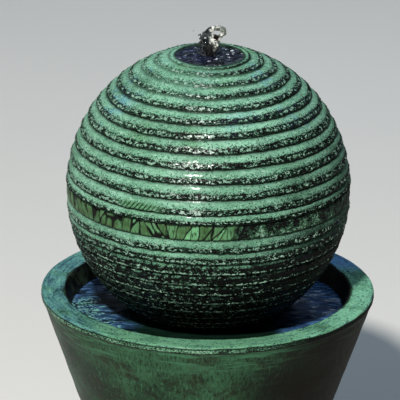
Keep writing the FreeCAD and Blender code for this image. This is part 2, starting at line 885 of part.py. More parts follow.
def make_hose_fittings():
    """The adapter on the pump's spigot and the rubber coupling that takes the riser pipe."""
    spigot_end = "pump_axis + spigot_top"
    turned(
        "outlet_adapter",
        [
            ("spigot_radius", "collar_bottom"),
            ("collar_radius", "collar_bottom"),
            ("collar_radius", "collar_top"),
            ("barb_radius", "collar_top"),
            ("barb_radius", "barb_top"),
            ("barb_bore", "barb_top"),
            ("barb_bore", spigot_end),
            ("spigot_radius", spigot_end),
        ],
    )
    turned(
        "riser_coupling",
        [
            ("barb_radius", "collar_top"),
            ("coupling_radius", "collar_top"),
            ("coupling_radius", "coupling_top"),
            ("coupling_bore", "coupling_top"),
            ("coupling_bore", "barb_top"),
            ("barb_radius", "barb_top"),
        ],
    )


def make_hose_clamp():
    """The steel band on the coupling, with its worm screw in a small housing."""
    clamp = new_body("hose_clamp")
    clamp_top = "clamp_bottom + clamp_width"
    corners = [("coupling_radius", "clamp_bottom"), ("clamp_radius", "clamp_bottom")]
    corners += [("clamp_radius", clamp_top), ("coupling_radius", clamp_top)]
    revolve(clamp, corners)
    housing = new_sketch(clamp, "XY_Plane", "clamp_bottom")
    half = "clamp_box_width / 2"
    inside_band = "(coupling_radius + clamp_radius) / 2"
    rectangle(housing, inside_band, "coupling_radius + clamp_box_length", f"-{half}", half)
    pad(clamp, housing, "clamp_width")
    across = "coupling_radius + clamp_box_length / 2"
    up = "clamp_bottom + clamp_width / 2"
    hole = new_sketch(clamp, "XZ_Plane")
    circle(hole, "clamp_screw_radius", across, up)
    pocket(clamp, hole)
    screw = new_body("clamp_screw")
    shank = new_sketch(screw, "XZ_Plane", "-clamp_screw_length / 2")
    circle(shank, "clamp_screw_radius", across, up)
    pad(screw, shank, "clamp_screw_length")
    head = new_sketch(screw, "XZ_Plane", "clamp_screw_length / 2")
    circle(head, "clamp_head_radius", across, up)
    pad(screw, head, "clamp_head")


# ---- Build, check and write ------------------------------------------------------------------------


def check_and_write():
    """Stops on any failed object or bad shape, then writes one STEP file for each piece."""
    doc.recompute()
    for thing in doc.Objects:
        if "Invalid" in thing.State or "Error" in thing.State:
            raise RuntimeError(f"{thing.Label} has failed: {thing.State}")
    labels = [piece.Label for piece in pieces]
    if len(set(labels)) != len(labels):
        raise RuntimeError("two pieces have the same label")
    os.makedirs("parts", exist_ok=True)
    for piece in pieces:
        shape = piece.Shape
        if shape.isNull() or not shape.isValid() or not shape.Solids:
            raise RuntimeError(f"{piece.Label} isn't a valid solid")
        shape.exportStep(f"parts/{piece.Label}.step")
        box = shape.BoundBox
        print(
            f"{piece.Label}: {len(shape.Solids)} solid(s), {shape.Volume / 1000:.1f} cm3,"
            f" z {box.ZMin:.1f} to {box.ZMax:.1f}"
        )


make_pot()
make_foot_pads()
make_cable_bung()
make_ball_upper_shell()
make_ball_lower_shell()
make_joint_band()
make_top_dish()
ring("dish_washer", "fitting_radius", "fitting_flange_radius", "dish_floor", "dish_floor + washer_thickness")
make_dish_fitting()
make_lock_nut()
make_bubbler_nozzle()
make_riser()
make_pump_cover()
make_seat_gasket()
make_motor_block()
make_cable_gland()
make_rotor()
make_shaft()
make_volute_cover()
make_volute_screws()
make_suction_cups()
make_strainer_cover()
make_flow_dial()
make_hose_fittings()
make_hose_clamp()
check_and_write()
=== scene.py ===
import itertools
import json
import math

import bmesh
import bpy
import numpy as np
from mathutils import Matrix, Vector


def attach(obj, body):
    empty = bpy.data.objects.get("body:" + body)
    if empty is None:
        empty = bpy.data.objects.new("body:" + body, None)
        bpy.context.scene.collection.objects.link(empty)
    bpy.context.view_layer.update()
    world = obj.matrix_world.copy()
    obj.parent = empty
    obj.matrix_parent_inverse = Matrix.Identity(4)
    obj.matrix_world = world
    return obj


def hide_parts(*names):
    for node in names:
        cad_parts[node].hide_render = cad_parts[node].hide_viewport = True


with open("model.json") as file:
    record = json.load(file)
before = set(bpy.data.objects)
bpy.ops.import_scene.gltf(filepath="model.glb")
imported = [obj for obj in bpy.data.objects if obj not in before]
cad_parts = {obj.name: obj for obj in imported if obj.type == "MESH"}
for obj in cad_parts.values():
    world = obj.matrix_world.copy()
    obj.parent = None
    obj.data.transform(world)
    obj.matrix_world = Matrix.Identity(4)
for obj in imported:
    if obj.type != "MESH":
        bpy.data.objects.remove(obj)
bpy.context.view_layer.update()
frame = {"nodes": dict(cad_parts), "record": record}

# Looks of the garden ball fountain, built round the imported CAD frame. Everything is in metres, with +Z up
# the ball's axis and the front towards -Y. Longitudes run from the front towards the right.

MM = 0.001
DEGREE = math.pi / 180

# The ball: its crests lie on this oval, and a depth is measured inwards from it
CENTRE = 432.7 * MM  # height of its middle
BALL_RADIUS = 191 * MM
HALF_HEIGHT = 195 * MM
CAVITY_RADIUS = 180 * MM
REBATE_RADIUS = 184 * MM
HALF_JOINT = CENTRE + 3 * MM
BAND_TOP = 4.0  # latitudes in degrees, as the grooves are
BAND_BOTTOM = -2.3
UPPER_GROOVES = [73.5 - 6 * k for k in range(12)]
LOWER_GROOVES = [BAND_BOTTOM - 5.45 * (k + 1) for k in range(11)]
LIP_RADIUS = 48.5 * MM
LIP_DIP = 2.6 * MM  # how much lower the lip is at the front, where the water spills over
OPENING_RADIUS = 45 * MM
LEDGE_RADIUS = 41 * MM
LEDGE_HEIGHT = 612 * MM
FOOT_HEIGHT = 252 * MM
FOOT_FLOOR = 264 * MM
FOOT_RADIUS = 70 * MM
FOOT_HOLE_RADIUS = 16 * MM
COLUMNS = 720

# A cone about 1 mm outside the pot's inner wall, by its radius at height 0 and its taper
LINING_RADIUS = 106.5 * MM
LINING_TAPER = 0.298

# Water
POOL_LEVEL = 618.2 * MM
POOL_RADIUS = 46.2 * MM
BASIN_LEVEL = 263 * MM
BASIN_RADIUS = 183.8 * MM


# ---- Helpers for shapes ------------------------------------------------------------------------------


def noise(points, size, seed):
    """Smooth random values, about -1 to 1, at 3-D points. A bump is about `size` across."""
    scaled = points / size + 31.7 * seed
    cell = np.floor(scaled).astype(np.int64)
    inside = scaled - cell
    ease = inside * inside * inside * (inside * (inside * 6 - 15) + 10)
    slopes = np.random.RandomState(seed).normal(size=(1024, 3))
    slopes /= np.linalg.norm(slopes, axis=1)[:, None]
    total = np.zeros(points.shape[:-1])
    for corner in itertools.product((0, 1), repeat=3):
        at = cell + corner
        # Large odd numbers scatter the lattice corners over the table of slopes
        key = at[..., 0] * 73856093 ^ at[..., 1] * 19349663 ^ at[..., 2] * 83492791
        key = (key ^ key >> 13) * 1274126177
        slope = slopes[(key ^ key >> 16) & 1023]
        weight = np.prod(np.where(corner, ease, 1 - ease), axis=-1)
        total += weight * np.sum(slope * (inside - corner), axis=-1)
    return total * 1.7


def ramp(value, low, high):
    """0 below low, 1 above high, and smooth between them. It falls instead if low is above high."""
    part = np.clip((value - low) / (high - low), 0, 1)
    return part * part * (3 - 2 * part)


def around(columns):
    """Evenly spaced longitudes in radians."""
    return np.arange(columns) * (2 * math.pi / columns)


def spin(radius, height, longitude):
    """Points in space from radii, heights and longitudes, which broadcast together."""
    radius, height, longitude = np.broadcast_arrays(radius, height, longitude)
    return np.stack([radius * np.sin(longitude), -radius * np.cos(longitude), height], axis=-1)


def wrapped_degrees(longitude):
    """Longitudes as degrees from -180 to 180."""
    return (np.degrees(longitude) + 180) % 360 - 180


def lathe(name, points, closed=True, attributes=None):
    """A mesh from points[row, column]. Rows follow the outline, columns go round the axis.

    A closed outline makes a ring. An open one starts and ends on the axis, with a fan at each end.
    """
    rows, columns = points.shape[:2]
    index = np.arange(rows * columns).reshape(rows, columns)
    here = index if closed else index[:-1]
    below = np.roll(index, -1, axis=0)[: len(here)]
    quads = np.stack([here, below, np.roll(below, -1, axis=1), np.roll(here, -1, axis=1)], axis=-1)
    vertices = points.reshape(-1, 3)
    corners = quads.reshape(-1)
    starts = np.arange(0, len(corners), 4)
    if not closed:
        ends = np.stack([[0, 0, points[0, :, 2].mean()], [0, 0, points[-1, :, 2].mean()]])
        vertices = np.concatenate([vertices, ends])
        first = np.stack([np.full(columns, rows * columns), index[0], np.roll(index[0], -1)], axis=-1)
        last = np.stack([np.full(columns, rows * columns + 1), np.roll(index[-1], -1), index[-1]], axis=-1)
        fans = np.concatenate([first, last]).reshape(-1)
        starts = np.concatenate([starts, np.arange(len(corners), len(corners) + len(fans), 3)])
        corners = np.concatenate([corners, fans])
    mesh = bpy.data.meshes.new(name)
    mesh.vertices.add(len(vertices))
    mesh.vertices.foreach_set("co", vertices.astype(np.float32).reshape(-1))
    mesh.loops.add(len(corners))
    mesh.loops.foreach_set("vertex_index", corners.astype(np.int32))
    mesh.polygons.add(len(starts))
    mesh.polygons.foreach_set("loop_start", starts.astype(np.int32))
    mesh.update(calc_edges=True)
    mesh.shade_smooth()
    for key, values in (attributes or {}).items():
        layer = mesh.attributes.new(key, "FLOAT", "POINT")
        flat = np.zeros(len(vertices), np.float32)
        flat[: rows * columns] = np.broadcast_to(values, (rows, columns)).reshape(-1)
        layer.data.foreach_set("value", flat)
    piece = bpy.data.objects.new(name, mesh)
    bpy.context.scene.collection.objects.link(piece)
    return piece


def rounded(corners, step):
    """An outline from (radius, height, rounding) corners in millimetres, with points `step` apart."""
    corners = [(Vector(corner[:2]), corner[2]) for corner in corners]
    stops = [corners[0][0]]
    for (before, _), (corner, size), (after, _) in zip(corners, corners[1:], corners[2:]):
        if size:
            start = corner + (before - corner).normalized() * size
            end = corner + (after - corner).normalized() * size
            for part in (0, 0.2, 0.4, 0.6, 0.8, 1):
                stops.append(start.lerp(corner, part).lerp(corner.lerp(end, part), part))
        else:
            stops.append(corner)
    stops.append(corners[-1][0])
    outline = []
    for start, end in zip(stops, stops[1:]):
        count = max(1, round((end - start).length / step))
        outline += [start.lerp(end, k / count) for k in range(count)]
    outline.append(stops[-1])
    return np.array([tuple(point) for point in outline]) * MM


def own(piece, body, slot, material, *nodes):
    """Says which body a piece rides on, which material it has, and which CAD nodes it stands for, which are
    hidden. The slot is not used.
    """
    piece.data.materials.clear()
    piece.data.materials.append(material)
    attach(piece, body)
    if nodes:
        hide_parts(*nodes)
    return piece


# ---- Helpers for materials ---------------------------------------------------------------------------


def srgb(red, green, blue):
    """A colour given as 0 to 255 on screen, as the linear colour that a shader takes."""
    shares = [value / 255 for value in (red, green, blue)]
    return (*[s / 12.92 if s <= 0.04045 else ((s + 0.055) / 1.055) ** 2.4 for s in shares], 1.0)


class Recipe:
    """A node material that is put together with short calls."""

    def __init__(self, name, **shader):
        self.material = bpy.data.materials.new(name)
        self.material.use_nodes = True
        self.tree = self.material.node_tree
        self.shader = self.tree.nodes["Principled BSDF"]
        for socket, value in shader.items():
            self.shader.inputs[socket.replace("_", " ")].default_value = value
        self.place = self.add("ShaderNodeTexCoord").outputs["Object"]

    def add(self, kind, sockets=None, **settings):
        node = self.tree.nodes.new(kind)
        for key, value in settings.items():
            setattr(node, key, value)
        for key, value in (sockets or {}).items():
            self.join(value, node.inputs[key])
        return node

    def join(self, value, socket):
        if isinstance(value, bpy.types.NodeSocket):
            self.tree.links.new(value, socket)
        else:
            socket.default_value = value

    def attribute(self, name):
        return self.add("ShaderNodeAttribute", attribute_name=name).outputs["Fac"]

    def axis(self, name):
        return self.add("ShaderNodeSeparateXYZ", {"Vector": self.place}).outputs[name]

    def math(self, operation, first, second=0.0):
        return self.add("ShaderNodeMath", {0: first, 1: second}, operation=operation).outputs[0]

    def distance(self, x=0.0, y=0.0):
        """Distance from the upright line through x, y."""
        return self.far_from((x, y, 0), self.stretched(1, 1, 0))

    def far_from(self, point, place=None):
        """Distance from a point."""
        sockets = {0: place or self.place, 1: point}
        return self.add("ShaderNodeVectorMath", sockets, operation="DISTANCE").outputs["Value"]

    def stretched(self, x, y, z):
        """The place, with each axis multiplied."""
        sockets = {0: self.place, 1: (x, y, z)}
        return self.add("ShaderNodeVectorMath", sockets, operation="MULTIPLY").outputs[0]

    def grain(self, size, detail=3.0, roughness=0.55, place=None):
        """Noise from 0 to 1, with bumps about `size` metres across."""
        place = place or self.place
        sockets = {"Vector": place, "Scale": 0.6 / size, "Detail": detail, "Roughness": roughness}
        return self.add("ShaderNodeTexNoise", sockets).outputs["Fac"]

    def cells(self, size):
        """Distance from the nearest of random points, which are about `size` metres apart."""
        return self.add("ShaderNodeTexVoronoi", {"Vector": self.place, "Scale": 1 / size}).outputs["Distance"]

    def rise(self, value, low, high, bottom=0.0, top=1.0):
        """bottom below low, top above high, smooth between."""
        sockets = {"Value": value, "From Min": low, "From Max": high, "To Min": bottom, "To Max": top}
        return self.add("ShaderNodeMapRange", sockets, interpolation_type="SMOOTHSTEP").outputs["Result"]

    def mix(self, factor, first, second):
        """first at factor 0, second at factor 1. Input 0 is the factor, and 6 and 7 are the colours."""
        return self.add("ShaderNodeMix", {0: factor, 6: first, 7: second}, data_type="RGBA").outputs[2]

    def bump(self, height, distance, strength=1.0):
        sockets = {"Height": height, "Distance": distance, "Strength": strength}
        return self.add("ShaderNodeBump", sockets).outputs["Normal"]

    def finish(self, **sockets):
        for key, value in sockets.items():
            self.join(value, self.shader.inputs[key.replace("_", " ")])
        return self.material


# ---- Materials ---------------------------------------------------------------------------------------


def ball_glaze():
    """Verdigris glaze, worn to near-black and flecked with pale crumbs on the rough belts."""
    glaze = Recipe("ball_glaze", Specular_IOR_Level=0.1, Coat_Roughness=0.16)
    belt = glaze.attribute("belt")
    relief = glaze.attribute("relief")
    fleck = glaze.attribute("fleck")
    groove = glaze.attribute("groove")
    wet_and_glint = glaze.attribute("wet_and_glint")
    tone = glaze.attribute("tone")
    grime_and_shade = glaze.attribute("grime_and_shade")
    hatch = glaze.attribute("hatch")
    lying = glaze.stretched(0.8, 0.8, 1.15)
    fine = glaze.grain(0.001, detail=2.0, place=lying)
    coarse = glaze.grain(0.0026, detail=3.0, place=lying)
    broad = glaze.grain(0.05)
    # Smooth slopes: green, bluer or more olive in places, with loose dark flecks; the blue high on the left
    # and right is painted sky light
    green = glaze.mix(glaze.rise(broad, 0.35, 0.65), srgb(98, 148, 122), srgb(126, 178, 153))
    green = glaze.mix(glaze.rise(tone, 0.5, 1.8, 0.0, 0.85), green, srgb(104, 160, 172))
    green = glaze.mix(glaze.rise(tone, -0.3, -1.2), green, srgb(90, 140, 104))
    green = glaze.mix(glaze.rise(coarse, 0.56, 0.7, 0.0, 0.5), green, srgb(170, 210, 190))
    green = glaze.mix(glaze.rise(coarse, 0.46, 0.34, 0.0, 0.6), green, srgb(62, 112, 86))
    green = glaze.mix(glaze.rise(fine, 0.38, 0.28, 0.0, 0.5), green, srgb(168, 206, 188))
    # Grime and shade: darker low down as grime, and towards the right as painted shade
    green = glaze.mix(glaze.math("MULTIPLY", grime_and_shade, 0.8), green, srgb(10, 34, 22))
    spots = glaze.math("ADD", fine, glaze.math("MULTIPLY", fleck, 0.16))
    spots = glaze.math("ADD", spots, glaze.math("MULTIPLY", grime_and_shade, 0.07))
    slope = glaze.mix(glaze.rise(spots, 0.6, 0.66, 0.0, 0.9), green, srgb(14, 34, 27))
    # Rough belts: black, then dark green, then pale crumbs as the relief rises
    height = glaze.math("ADD", coarse, glaze.math("MULTIPLY", relief, 0.045))
    height = glaze.math("ADD", height, glaze.math("MULTIPLY", glaze.math("SUBTRACT", fine, 0.5), 0.9))
    # Belts turn navy where the tone is high, partly as painted sky light
    black = glaze.mix(glaze.rise(tone, 0.3, 1.1), srgb(4, 6, 6), srgb(12, 19, 30))
    mossy = glaze.mix(glaze.rise(tone, -1.0, 1.0), srgb(36, 82, 56), srgb(60, 104, 82))
    mossy = glaze.mix(glaze.math("MULTIPLY", grime_and_shade, 0.8), mossy, srgb(14, 54, 34))
    rough = glaze.mix(glaze.rise(height, 0.5, 0.56), black, mossy)
    # Crumbs in the wet streak down the front are paler, as a painted glint
    crumb = glaze.mix(glaze.rise(wet_and_glint, 0.2, 0.8), srgb(134, 168, 150), srgb(172, 192, 182))
    # Crumbs turn lighter where the grime is heavy, which low down is partly a painted highlight on the crests
    crumb = glaze.mix(glaze.rise(grime_and_shade, 0.45, 0.75), crumb, srgb(164, 200, 180))
    rough = glaze.mix(glaze.rise(height, 0.575, 0.64, 0.0, 0.95), rough, crumb)
    ragged = glaze.math("MULTIPLY", glaze.math("SUBTRACT", coarse, 0.5), 1.6)
    colour = glaze.mix(glaze.rise(glaze.math("ADD", belt, ragged), 0.38, 0.58), slope, rough)
    # Slanting cuts in the stretch of rib that has them
    slanting = glaze.math("SUBTRACT", glaze.axis("X"), glaze.math("MULTIPLY", glaze.axis("Z"), 0.8))
    cuts = glaze.math("SINE", glaze.math("MULTIPLY", slanting, 1160.0))
    colour = glaze.mix(glaze.math("MULTIPLY", hatch, 0.75), colour, srgb(86, 138, 98))
    colour = glaze.mix(glaze.math("MULTIPLY", hatch, glaze.rise(cuts, 0.35, 0.75)), colour, srgb(8, 22, 12))
    # Painted shade: the groove under each belt's overhang goes near-black
    colour = glaze.mix(groove, colour, srgb(2, 6, 4))
    shine = glaze.rise(glaze.math("SUBTRACT", fine, glaze.math("MULTIPLY", wet_and_glint, 0.45)), 0.0, 0.7, 0.2, 0.6)
    shine = glaze.math("ADD", shine, glaze.math("MULTIPLY", grime_and_shade, 0.3))
    coat = glaze.rise(wet_and_glint, 0.0, 1.0, 0.08, 0.36)
    coat = glaze.math("MULTIPLY", coat, glaze.rise(coarse, 0.44, 0.6, 0.1, 1.0))
    return glaze.finish(
        Base_Color=colour,
        Roughness=shine,
        Coat_Weight=coat,
        Normal=glaze.bump(glaze.math("ADD", fine, coarse), 0.0009, 0.9),
    )


def band_glaze():
    """The luted band: leaf-shaped green cells between black cracks, black and rough where it is worn."""
    glaze = Recipe("band_glaze", Specular_IOR_Level=0.1, Coat_Weight=0.06, Coat_Roughness=0.15)
    crack = glaze.attribute("crack")
    shade = glaze.attribute("shade")
    worn = glaze.attribute("worn")
    fine = glaze.grain(0.0014)
    cloud = glaze.grain(0.005)
    veins = glaze.grain(0.0012, place=glaze.stretched(1, 1, 0.2))
    green = glaze.mix(shade, srgb(56, 88, 52), srgb(108, 170, 122))
    green = glaze.mix(glaze.rise(cloud, 0.48, 0.7, 0.0, 0.6), green, srgb(70, 88, 50))
    green = glaze.mix(glaze.rise(veins, 0.52, 0.66, 0.0, 0.85), green, srgb(24, 42, 26))
    black = glaze.mix(glaze.rise(cloud, 0.5, 0.58), srgb(3, 5, 5), srgb(30, 50, 40))
    patch = glaze.grain(0.012)
    crumbs = glaze.math("ADD", glaze.math("ADD", fine, glaze.math("MULTIPLY", cloud, 0.5)), patch)
    black = glaze.mix(glaze.rise(crumbs, 1.28, 1.36, 0.0, 0.8), black, srgb(52, 92, 66))
    black = glaze.mix(glaze.rise(crumbs, 1.42, 1.48, 0.0, 0.85), black, srgb(122, 156, 136))
    colour = glaze.mix(worn, green, black)
    colour = glaze.mix(crack, colour, srgb(2, 5, 3))
    rough = glaze.math("ADD", glaze.rise(fine, 0.3, 0.7, 0.3, 0.5), glaze.math("MULTIPLY", worn, 0.35))
    return glaze.finish(
        Base_Color=colour,
        Roughness=rough,
        Normal=glaze.bump(glaze.math("ADD", fine, cloud), 0.0006, 0.6),
    )


def pot_glaze():
    """The pot: turquoise rim, near-black inside as painted shade, brushed dark green outside, browner towards
    the right, where it is also painted darker as shade.

    Limits between 0.23 and 0.29 are heights up the pot, and those near 0.19 are radii, all in metres.
    """
    glaze = Recipe("pot_glaze", Specular_IOR_Level=0.12, Coat_Roughness=0.2)
    height = glaze.axis("Z")
    across = glaze.axis("X")
    radius = glaze.distance()
    broad = glaze.grain(0.09)
    cloud = glaze.grain(0.02)
    fine = glaze.grain(0.0014, detail=2.0)
    upright = glaze.grain(0.0017, detail=3.0, roughness=0.7, place=glaze.stretched(1, 1, 0.03))
    level = glaze.grain(0.0035, detail=4.0, roughness=0.65, place=glaze.stretched(0.1, 0.1, 1))
    rim_place = glaze.add("ShaderNodeCombineXYZ", {
        "X": glaze.math("MULTIPLY", across, 0.12),
        "Y": glaze.math("MULTIPLY", glaze.axis("Y"), 0.12),
        "Z": radius,
    }).outputs["Vector"]
    strokes = glaze.grain(0.0025, detail=4.0, roughness=0.7, place=rim_place)
    # Outside wall: upright strokes of green, browner towards the right, where it is also darkened as painted
    # shade
    wall = glaze.mix(glaze.rise(broad, 0.38, 0.62), srgb(22, 44, 28), srgb(48, 90, 62))
    wall = glaze.mix(glaze.rise(cloud, 0.48, 0.62, 0.0, 0.65), wall, srgb(32, 34, 22))
    wall = glaze.mix(glaze.rise(upright, 0.5, 0.32, 0.0, 0.85), wall, srgb(8, 16, 10))
    wall = glaze.mix(glaze.rise(upright, 0.53, 0.7, 0.0, 0.75), wall, srgb(66, 112, 80))
    wall = glaze.mix(glaze.rise(level, 0.56, 0.68, 0.0, 0.4), wall, srgb(58, 100, 72))
    wall = glaze.mix(glaze.rise(fine, 0.58, 0.68, 0.0, 0.55), wall, srgb(10, 20, 13))
    patches = glaze.math("ADD", glaze.grain(0.2, detail=2.0), glaze.math("MULTIPLY", across, 1.4))
    brown_and_shade = glaze.rise(patches, 0.46, 0.68, 0.0, 0.9)
    # The near-black brown on the right is partly painted shade
    brushed_brown_and_shade = glaze.mix(glaze.rise(upright, 0.4, 0.6), srgb(5, 4, 3), srgb(22, 15, 10))
    wall = glaze.mix(brown_and_shade, wall, brushed_brown_and_shade)
    near_rim = glaze.math("MULTIPLY", glaze.rise(height, 0.235, 0.275), glaze.rise(level, 0.5, 0.6))
    near_rim = glaze.math("MULTIPLY", near_rim, glaze.rise(brown_and_shade, 0.8, 0.2, 0.1, 0.8))
    wall = glaze.mix(near_rim, wall, srgb(62, 112, 82))
    # Upright edge of the rim: grey-green with fine flecks, darker towards the right as painted shade, a dark
    # line above, and a painted shadow line below
    crust = glaze.grain(0.0011, detail=3.0, place=glaze.stretched(0.8, 0.8, 1.3))
    patchy = glaze.math("ADD", crust, glaze.math("MULTIPLY", cloud, 0.5))
    edge = glaze.mix(glaze.rise(patchy, 0.68, 0.8), srgb(20, 40, 29), srgb(88, 136, 106))
    edge = glaze.mix(glaze.rise(patchy, 0.84, 0.92, 0.0, 0.8), edge, srgb(150, 182, 160))
    edge = glaze.mix(glaze.rise(crust, 0.44, 0.36), edge, srgb(8, 15, 11))
    to_right = glaze.math("ADD", across, glaze.math("MULTIPLY", cloud, 0.16))
    edge = glaze.mix(glaze.rise(to_right, 0.12, 0.2), edge, srgb(6, 14, 9))
    wander = glaze.math("MULTIPLY", glaze.math("SUBTRACT", cloud, 0.5), 0.004)
    lifted = glaze.math("ADD", height, wander)
    edge = glaze.mix(glaze.rise(lifted, 0.2855, 0.2868), edge, srgb(10, 24, 18))
    # Painted shadow line under the rim's edge
    colour = glaze.mix(glaze.rise(lifted, 0.2792, 0.2806), wall, srgb(6, 11, 8))
    colour = glaze.mix(glaze.rise(lifted, 0.281, 0.2822), colour, edge)
    # Top of the rim: turquoise on the left, greener at the front, stippled and brushed with blue
    top = glaze.mix(glaze.rise(broad, 0.38, 0.62), srgb(78, 130, 94), srgb(94, 146, 116))
    side = glaze.math("ADD", across, glaze.math("MULTIPLY", glaze.math("SUBTRACT", broad, 0.5), 0.2))
    top = glaze.mix(glaze.rise(side, -0.1, -0.19, 0.0, 0.85), top, srgb(84, 136, 138))
    top = glaze.mix(glaze.rise(side, 0.08, 0.17, 0.0, 0.75), top, srgb(118, 178, 150))
    # Painted shadow: blue where the ball's shadow falls on the back right of the rim
    shaded = glaze.math("MULTIPLY", glaze.rise(glaze.axis("Y"), 0.05, 0.1), glaze.rise(across, 0.06, 0.13))
    top = glaze.mix(glaze.math("MULTIPLY", shaded, 0.9), top, srgb(100, 150, 206))
    top = glaze.mix(glaze.rise(cloud, 0.5, 0.62, 0.0, 0.5), top, srgb(56, 104, 74))
    brushed = glaze.math("ADD", strokes, glaze.rise(side, -0.08, -0.2, 0.0, 0.06))
    top = glaze.mix(glaze.rise(brushed, 0.55, 0.68, 0.0, 0.75), top, srgb(44, 78, 98))
    top = glaze.mix(glaze.rise(strokes, 0.42, 0.3, 0.0, 0.6), top, srgb(124, 180, 146))
    stipple = glaze.math("ADD", glaze.grain(0.0016, detail=2.0), glaze.math("MULTIPLY", strokes, 0.4))
    top = glaze.mix(glaze.rise(stipple, 0.74, 0.82, 0.0, 0.8), top, srgb(20, 44, 44))
    worn = glaze.math("ADD", glaze.rise(radius, 0.199, 0.193, 0.0, 0.3), cloud)
    top = glaze.mix(glaze.rise(worn, 0.66, 0.76, 0.0, 0.85), top, srgb(26, 44, 30))
    colour = glaze.mix(glaze.rise(lifted, 0.287, 0.2884), colour, top)
    # Inside: near-black as painted shade, darker still towards the right, with green mottling
    mottle = glaze.rise(glaze.math("ADD", cloud, upright), 0.96, 1.12)
    lining_and_shade = glaze.mix(mottle, srgb(4, 6, 6), srgb(34, 46, 36))
    lining_and_shade = glaze.mix(glaze.rise(across, -0.05, 0.03), lining_and_shade, srgb(4, 5, 7))
    slanted = glaze.math("SUBTRACT", radius, glaze.math("MULTIPLY", height, LINING_TAPER))
    inside = glaze.rise(slanted, LINING_RADIUS, LINING_RADIUS + 2 * MM, 1.0, 0.0)
    colour = glaze.mix(inside, colour, lining_and_shade)
    relief = glaze.math("ADD", upright, glaze.math("ADD", level, fine))
    rough = glaze.math("ADD", glaze.rise(upright, 0.3, 0.7, 0.4, 0.65), glaze.math("MULTIPLY", brown_and_shade, 0.25))
    return glaze.finish(
        Base_Color=colour,
        Roughness=rough,
        Coat_Weight=glaze.rise(glaze.math("SUBTRACT", broad, brown_and_shade), 0.0, 0.7, 0.0, 0.08),
        Normal=glaze.bump(relief, 0.0004, 0.5),
    )


def basin_water():
    """Dark garden water with blue ripples, bluer on the right as painted sky reflection, dark green round the
    ball as its painted reflection and shade, and turquoise sparkle near the front left of the wall as painted
    sunlight.
    """
    water = Recipe("basin_water", Roughness=0.05, IOR=1.33, Coat_Weight=0.3, Coat_Roughness=0.03)
    rolling = water.stretched(0.7, 2.4, 1)
    swirl = water.grain(0.03, detail=4.0, place=rolling)
    streak = water.grain(0.008, detail=3.0, place=rolling)
    fine = water.grain(0.0024, detail=2.0)
    colour = water.mix(water.rise(swirl, 0.4, 0.58), srgb(11, 22, 32), srgb(36, 62, 92))
    colour = water.mix(water.rise(streak, 0.52, 0.64, 0.0, 0.9), colour, srgb(72, 106, 150))
    colour = water.mix(water.rise(streak, 0.44, 0.32, 0.0, 0.7), colour, srgb(5, 10, 17))
    # Bluer towards the right as painted sky reflection
    rightwards = water.rise(water.axis("X"), 0.06, 0.12)
    sky_reflection_blue = water.mix(water.rise(streak, 0.42, 0.62), srgb(36, 64, 100), srgb(70, 108, 156))
    colour = water.mix(water.math("MULTIPLY", rightwards, 0.9), colour, sky_reflection_blue)
    ragged = water.math("MULTIPLY", water.math("SUBTRACT", streak, 0.5), 0.12)
    shore = water.math("ADD", water.distance(), ragged)
    # Painted sunlight on the wall seen through the water near the front left
    sunlit_wall_sparkle = water.math("MULTIPLY", water.rise(shore, 0.142, 0.162), water.rise(fine, 0.47, 0.56))
    sunlit_wall_sparkle = water.math("MULTIPLY", sunlit_wall_sparkle, water.rise(water.distance(-0.14, -0.07), 0.11, 0.08))
    colour = water.mix(sunlit_wall_sparkle, colour, srgb(112, 172, 166))
    # Dark green round the ball and across the front: painted reflection and shade of the ball
    shadow = water.math("ADD", water.distance(), water.math("MULTIPLY", swirl, 0.05))
    ball_reflection_and_shade = water.rise(water.math("ADD", shadow, water.math("MULTIPLY", rightwards, 0.03)), 0.16, 0.13)
    colour = water.mix(ball_reflection_and_shade, colour, water.mix(streak, srgb(6, 20, 16), srgb(34, 74, 54)))
    sideways = water.rise(water.math("ABSOLUTE", water.axis("X")), 0.115, 0.085)
    front_reflection_and_shade = water.math("MULTIPLY", sideways, water.rise(water.axis("Y"), -0.05, -0.1))
    colour = water.mix(front_reflection_and_shade, colour, water.mix(streak, srgb(4, 12, 9), srgb(18, 40, 30)))
    relief = water.math("ADD", streak, water.math("MULTIPLY", fine, 0.3))
    return water.finish(Base_Color=colour, Normal=water.bump(relief, 0.002, 0.5))


def pool_water():
    """The pool in the ball's opening: indigo water with swirls, bubbles with painted highlights and a few
    bright streaks.
    """
    water = Recipe("pool_water", Roughness=0.08, IOR=1.25, Coat_Weight=0.1, Coat_Roughness=0.03)
    rolling = water.stretched(0.8, 1.7, 1)
    swirl = water.grain(0.01, detail=4.0, place=rolling)
    streak = water.grain(0.0035, detail=3.0, place=rolling)
    colour = water.mix(water.rise(swirl, 0.38, 0.62), srgb(3, 4, 8), srgb(20, 26, 46))
    colour = water.mix(water.rise(streak, 0.54, 0.66, 0.0, 0.85), colour, srgb(70, 78, 112))
    colour = water.mix(water.rise(water.axis("Y"), -0.024, -0.04, 0.0, 0.85), colour, srgb(4, 4, 6))
    colour = water.mix(water.rise(water.axis("X"), 0.004, 0.02, 0.0, 0.6), colour, srgb(4, 6, 10))
    # White rings on some bubbles are painted highlights
    cells = water.cells(0.0075)
    rings = water.math("MULTIPLY", water.rise(cells, 0.34, 0.26), water.rise(cells, 0.1, 0.18))
    some = water.rise(water.grain(0.012), 0.5, 0.54)
    colour = water.mix(water.math("MULTIPLY", rings, some), colour, srgb(196, 204, 212))
    relief = water.math("ADD", streak, swirl)
    return water.finish(Base_Color=colour, Normal=water.bump(relief, 0.002, 0.6))


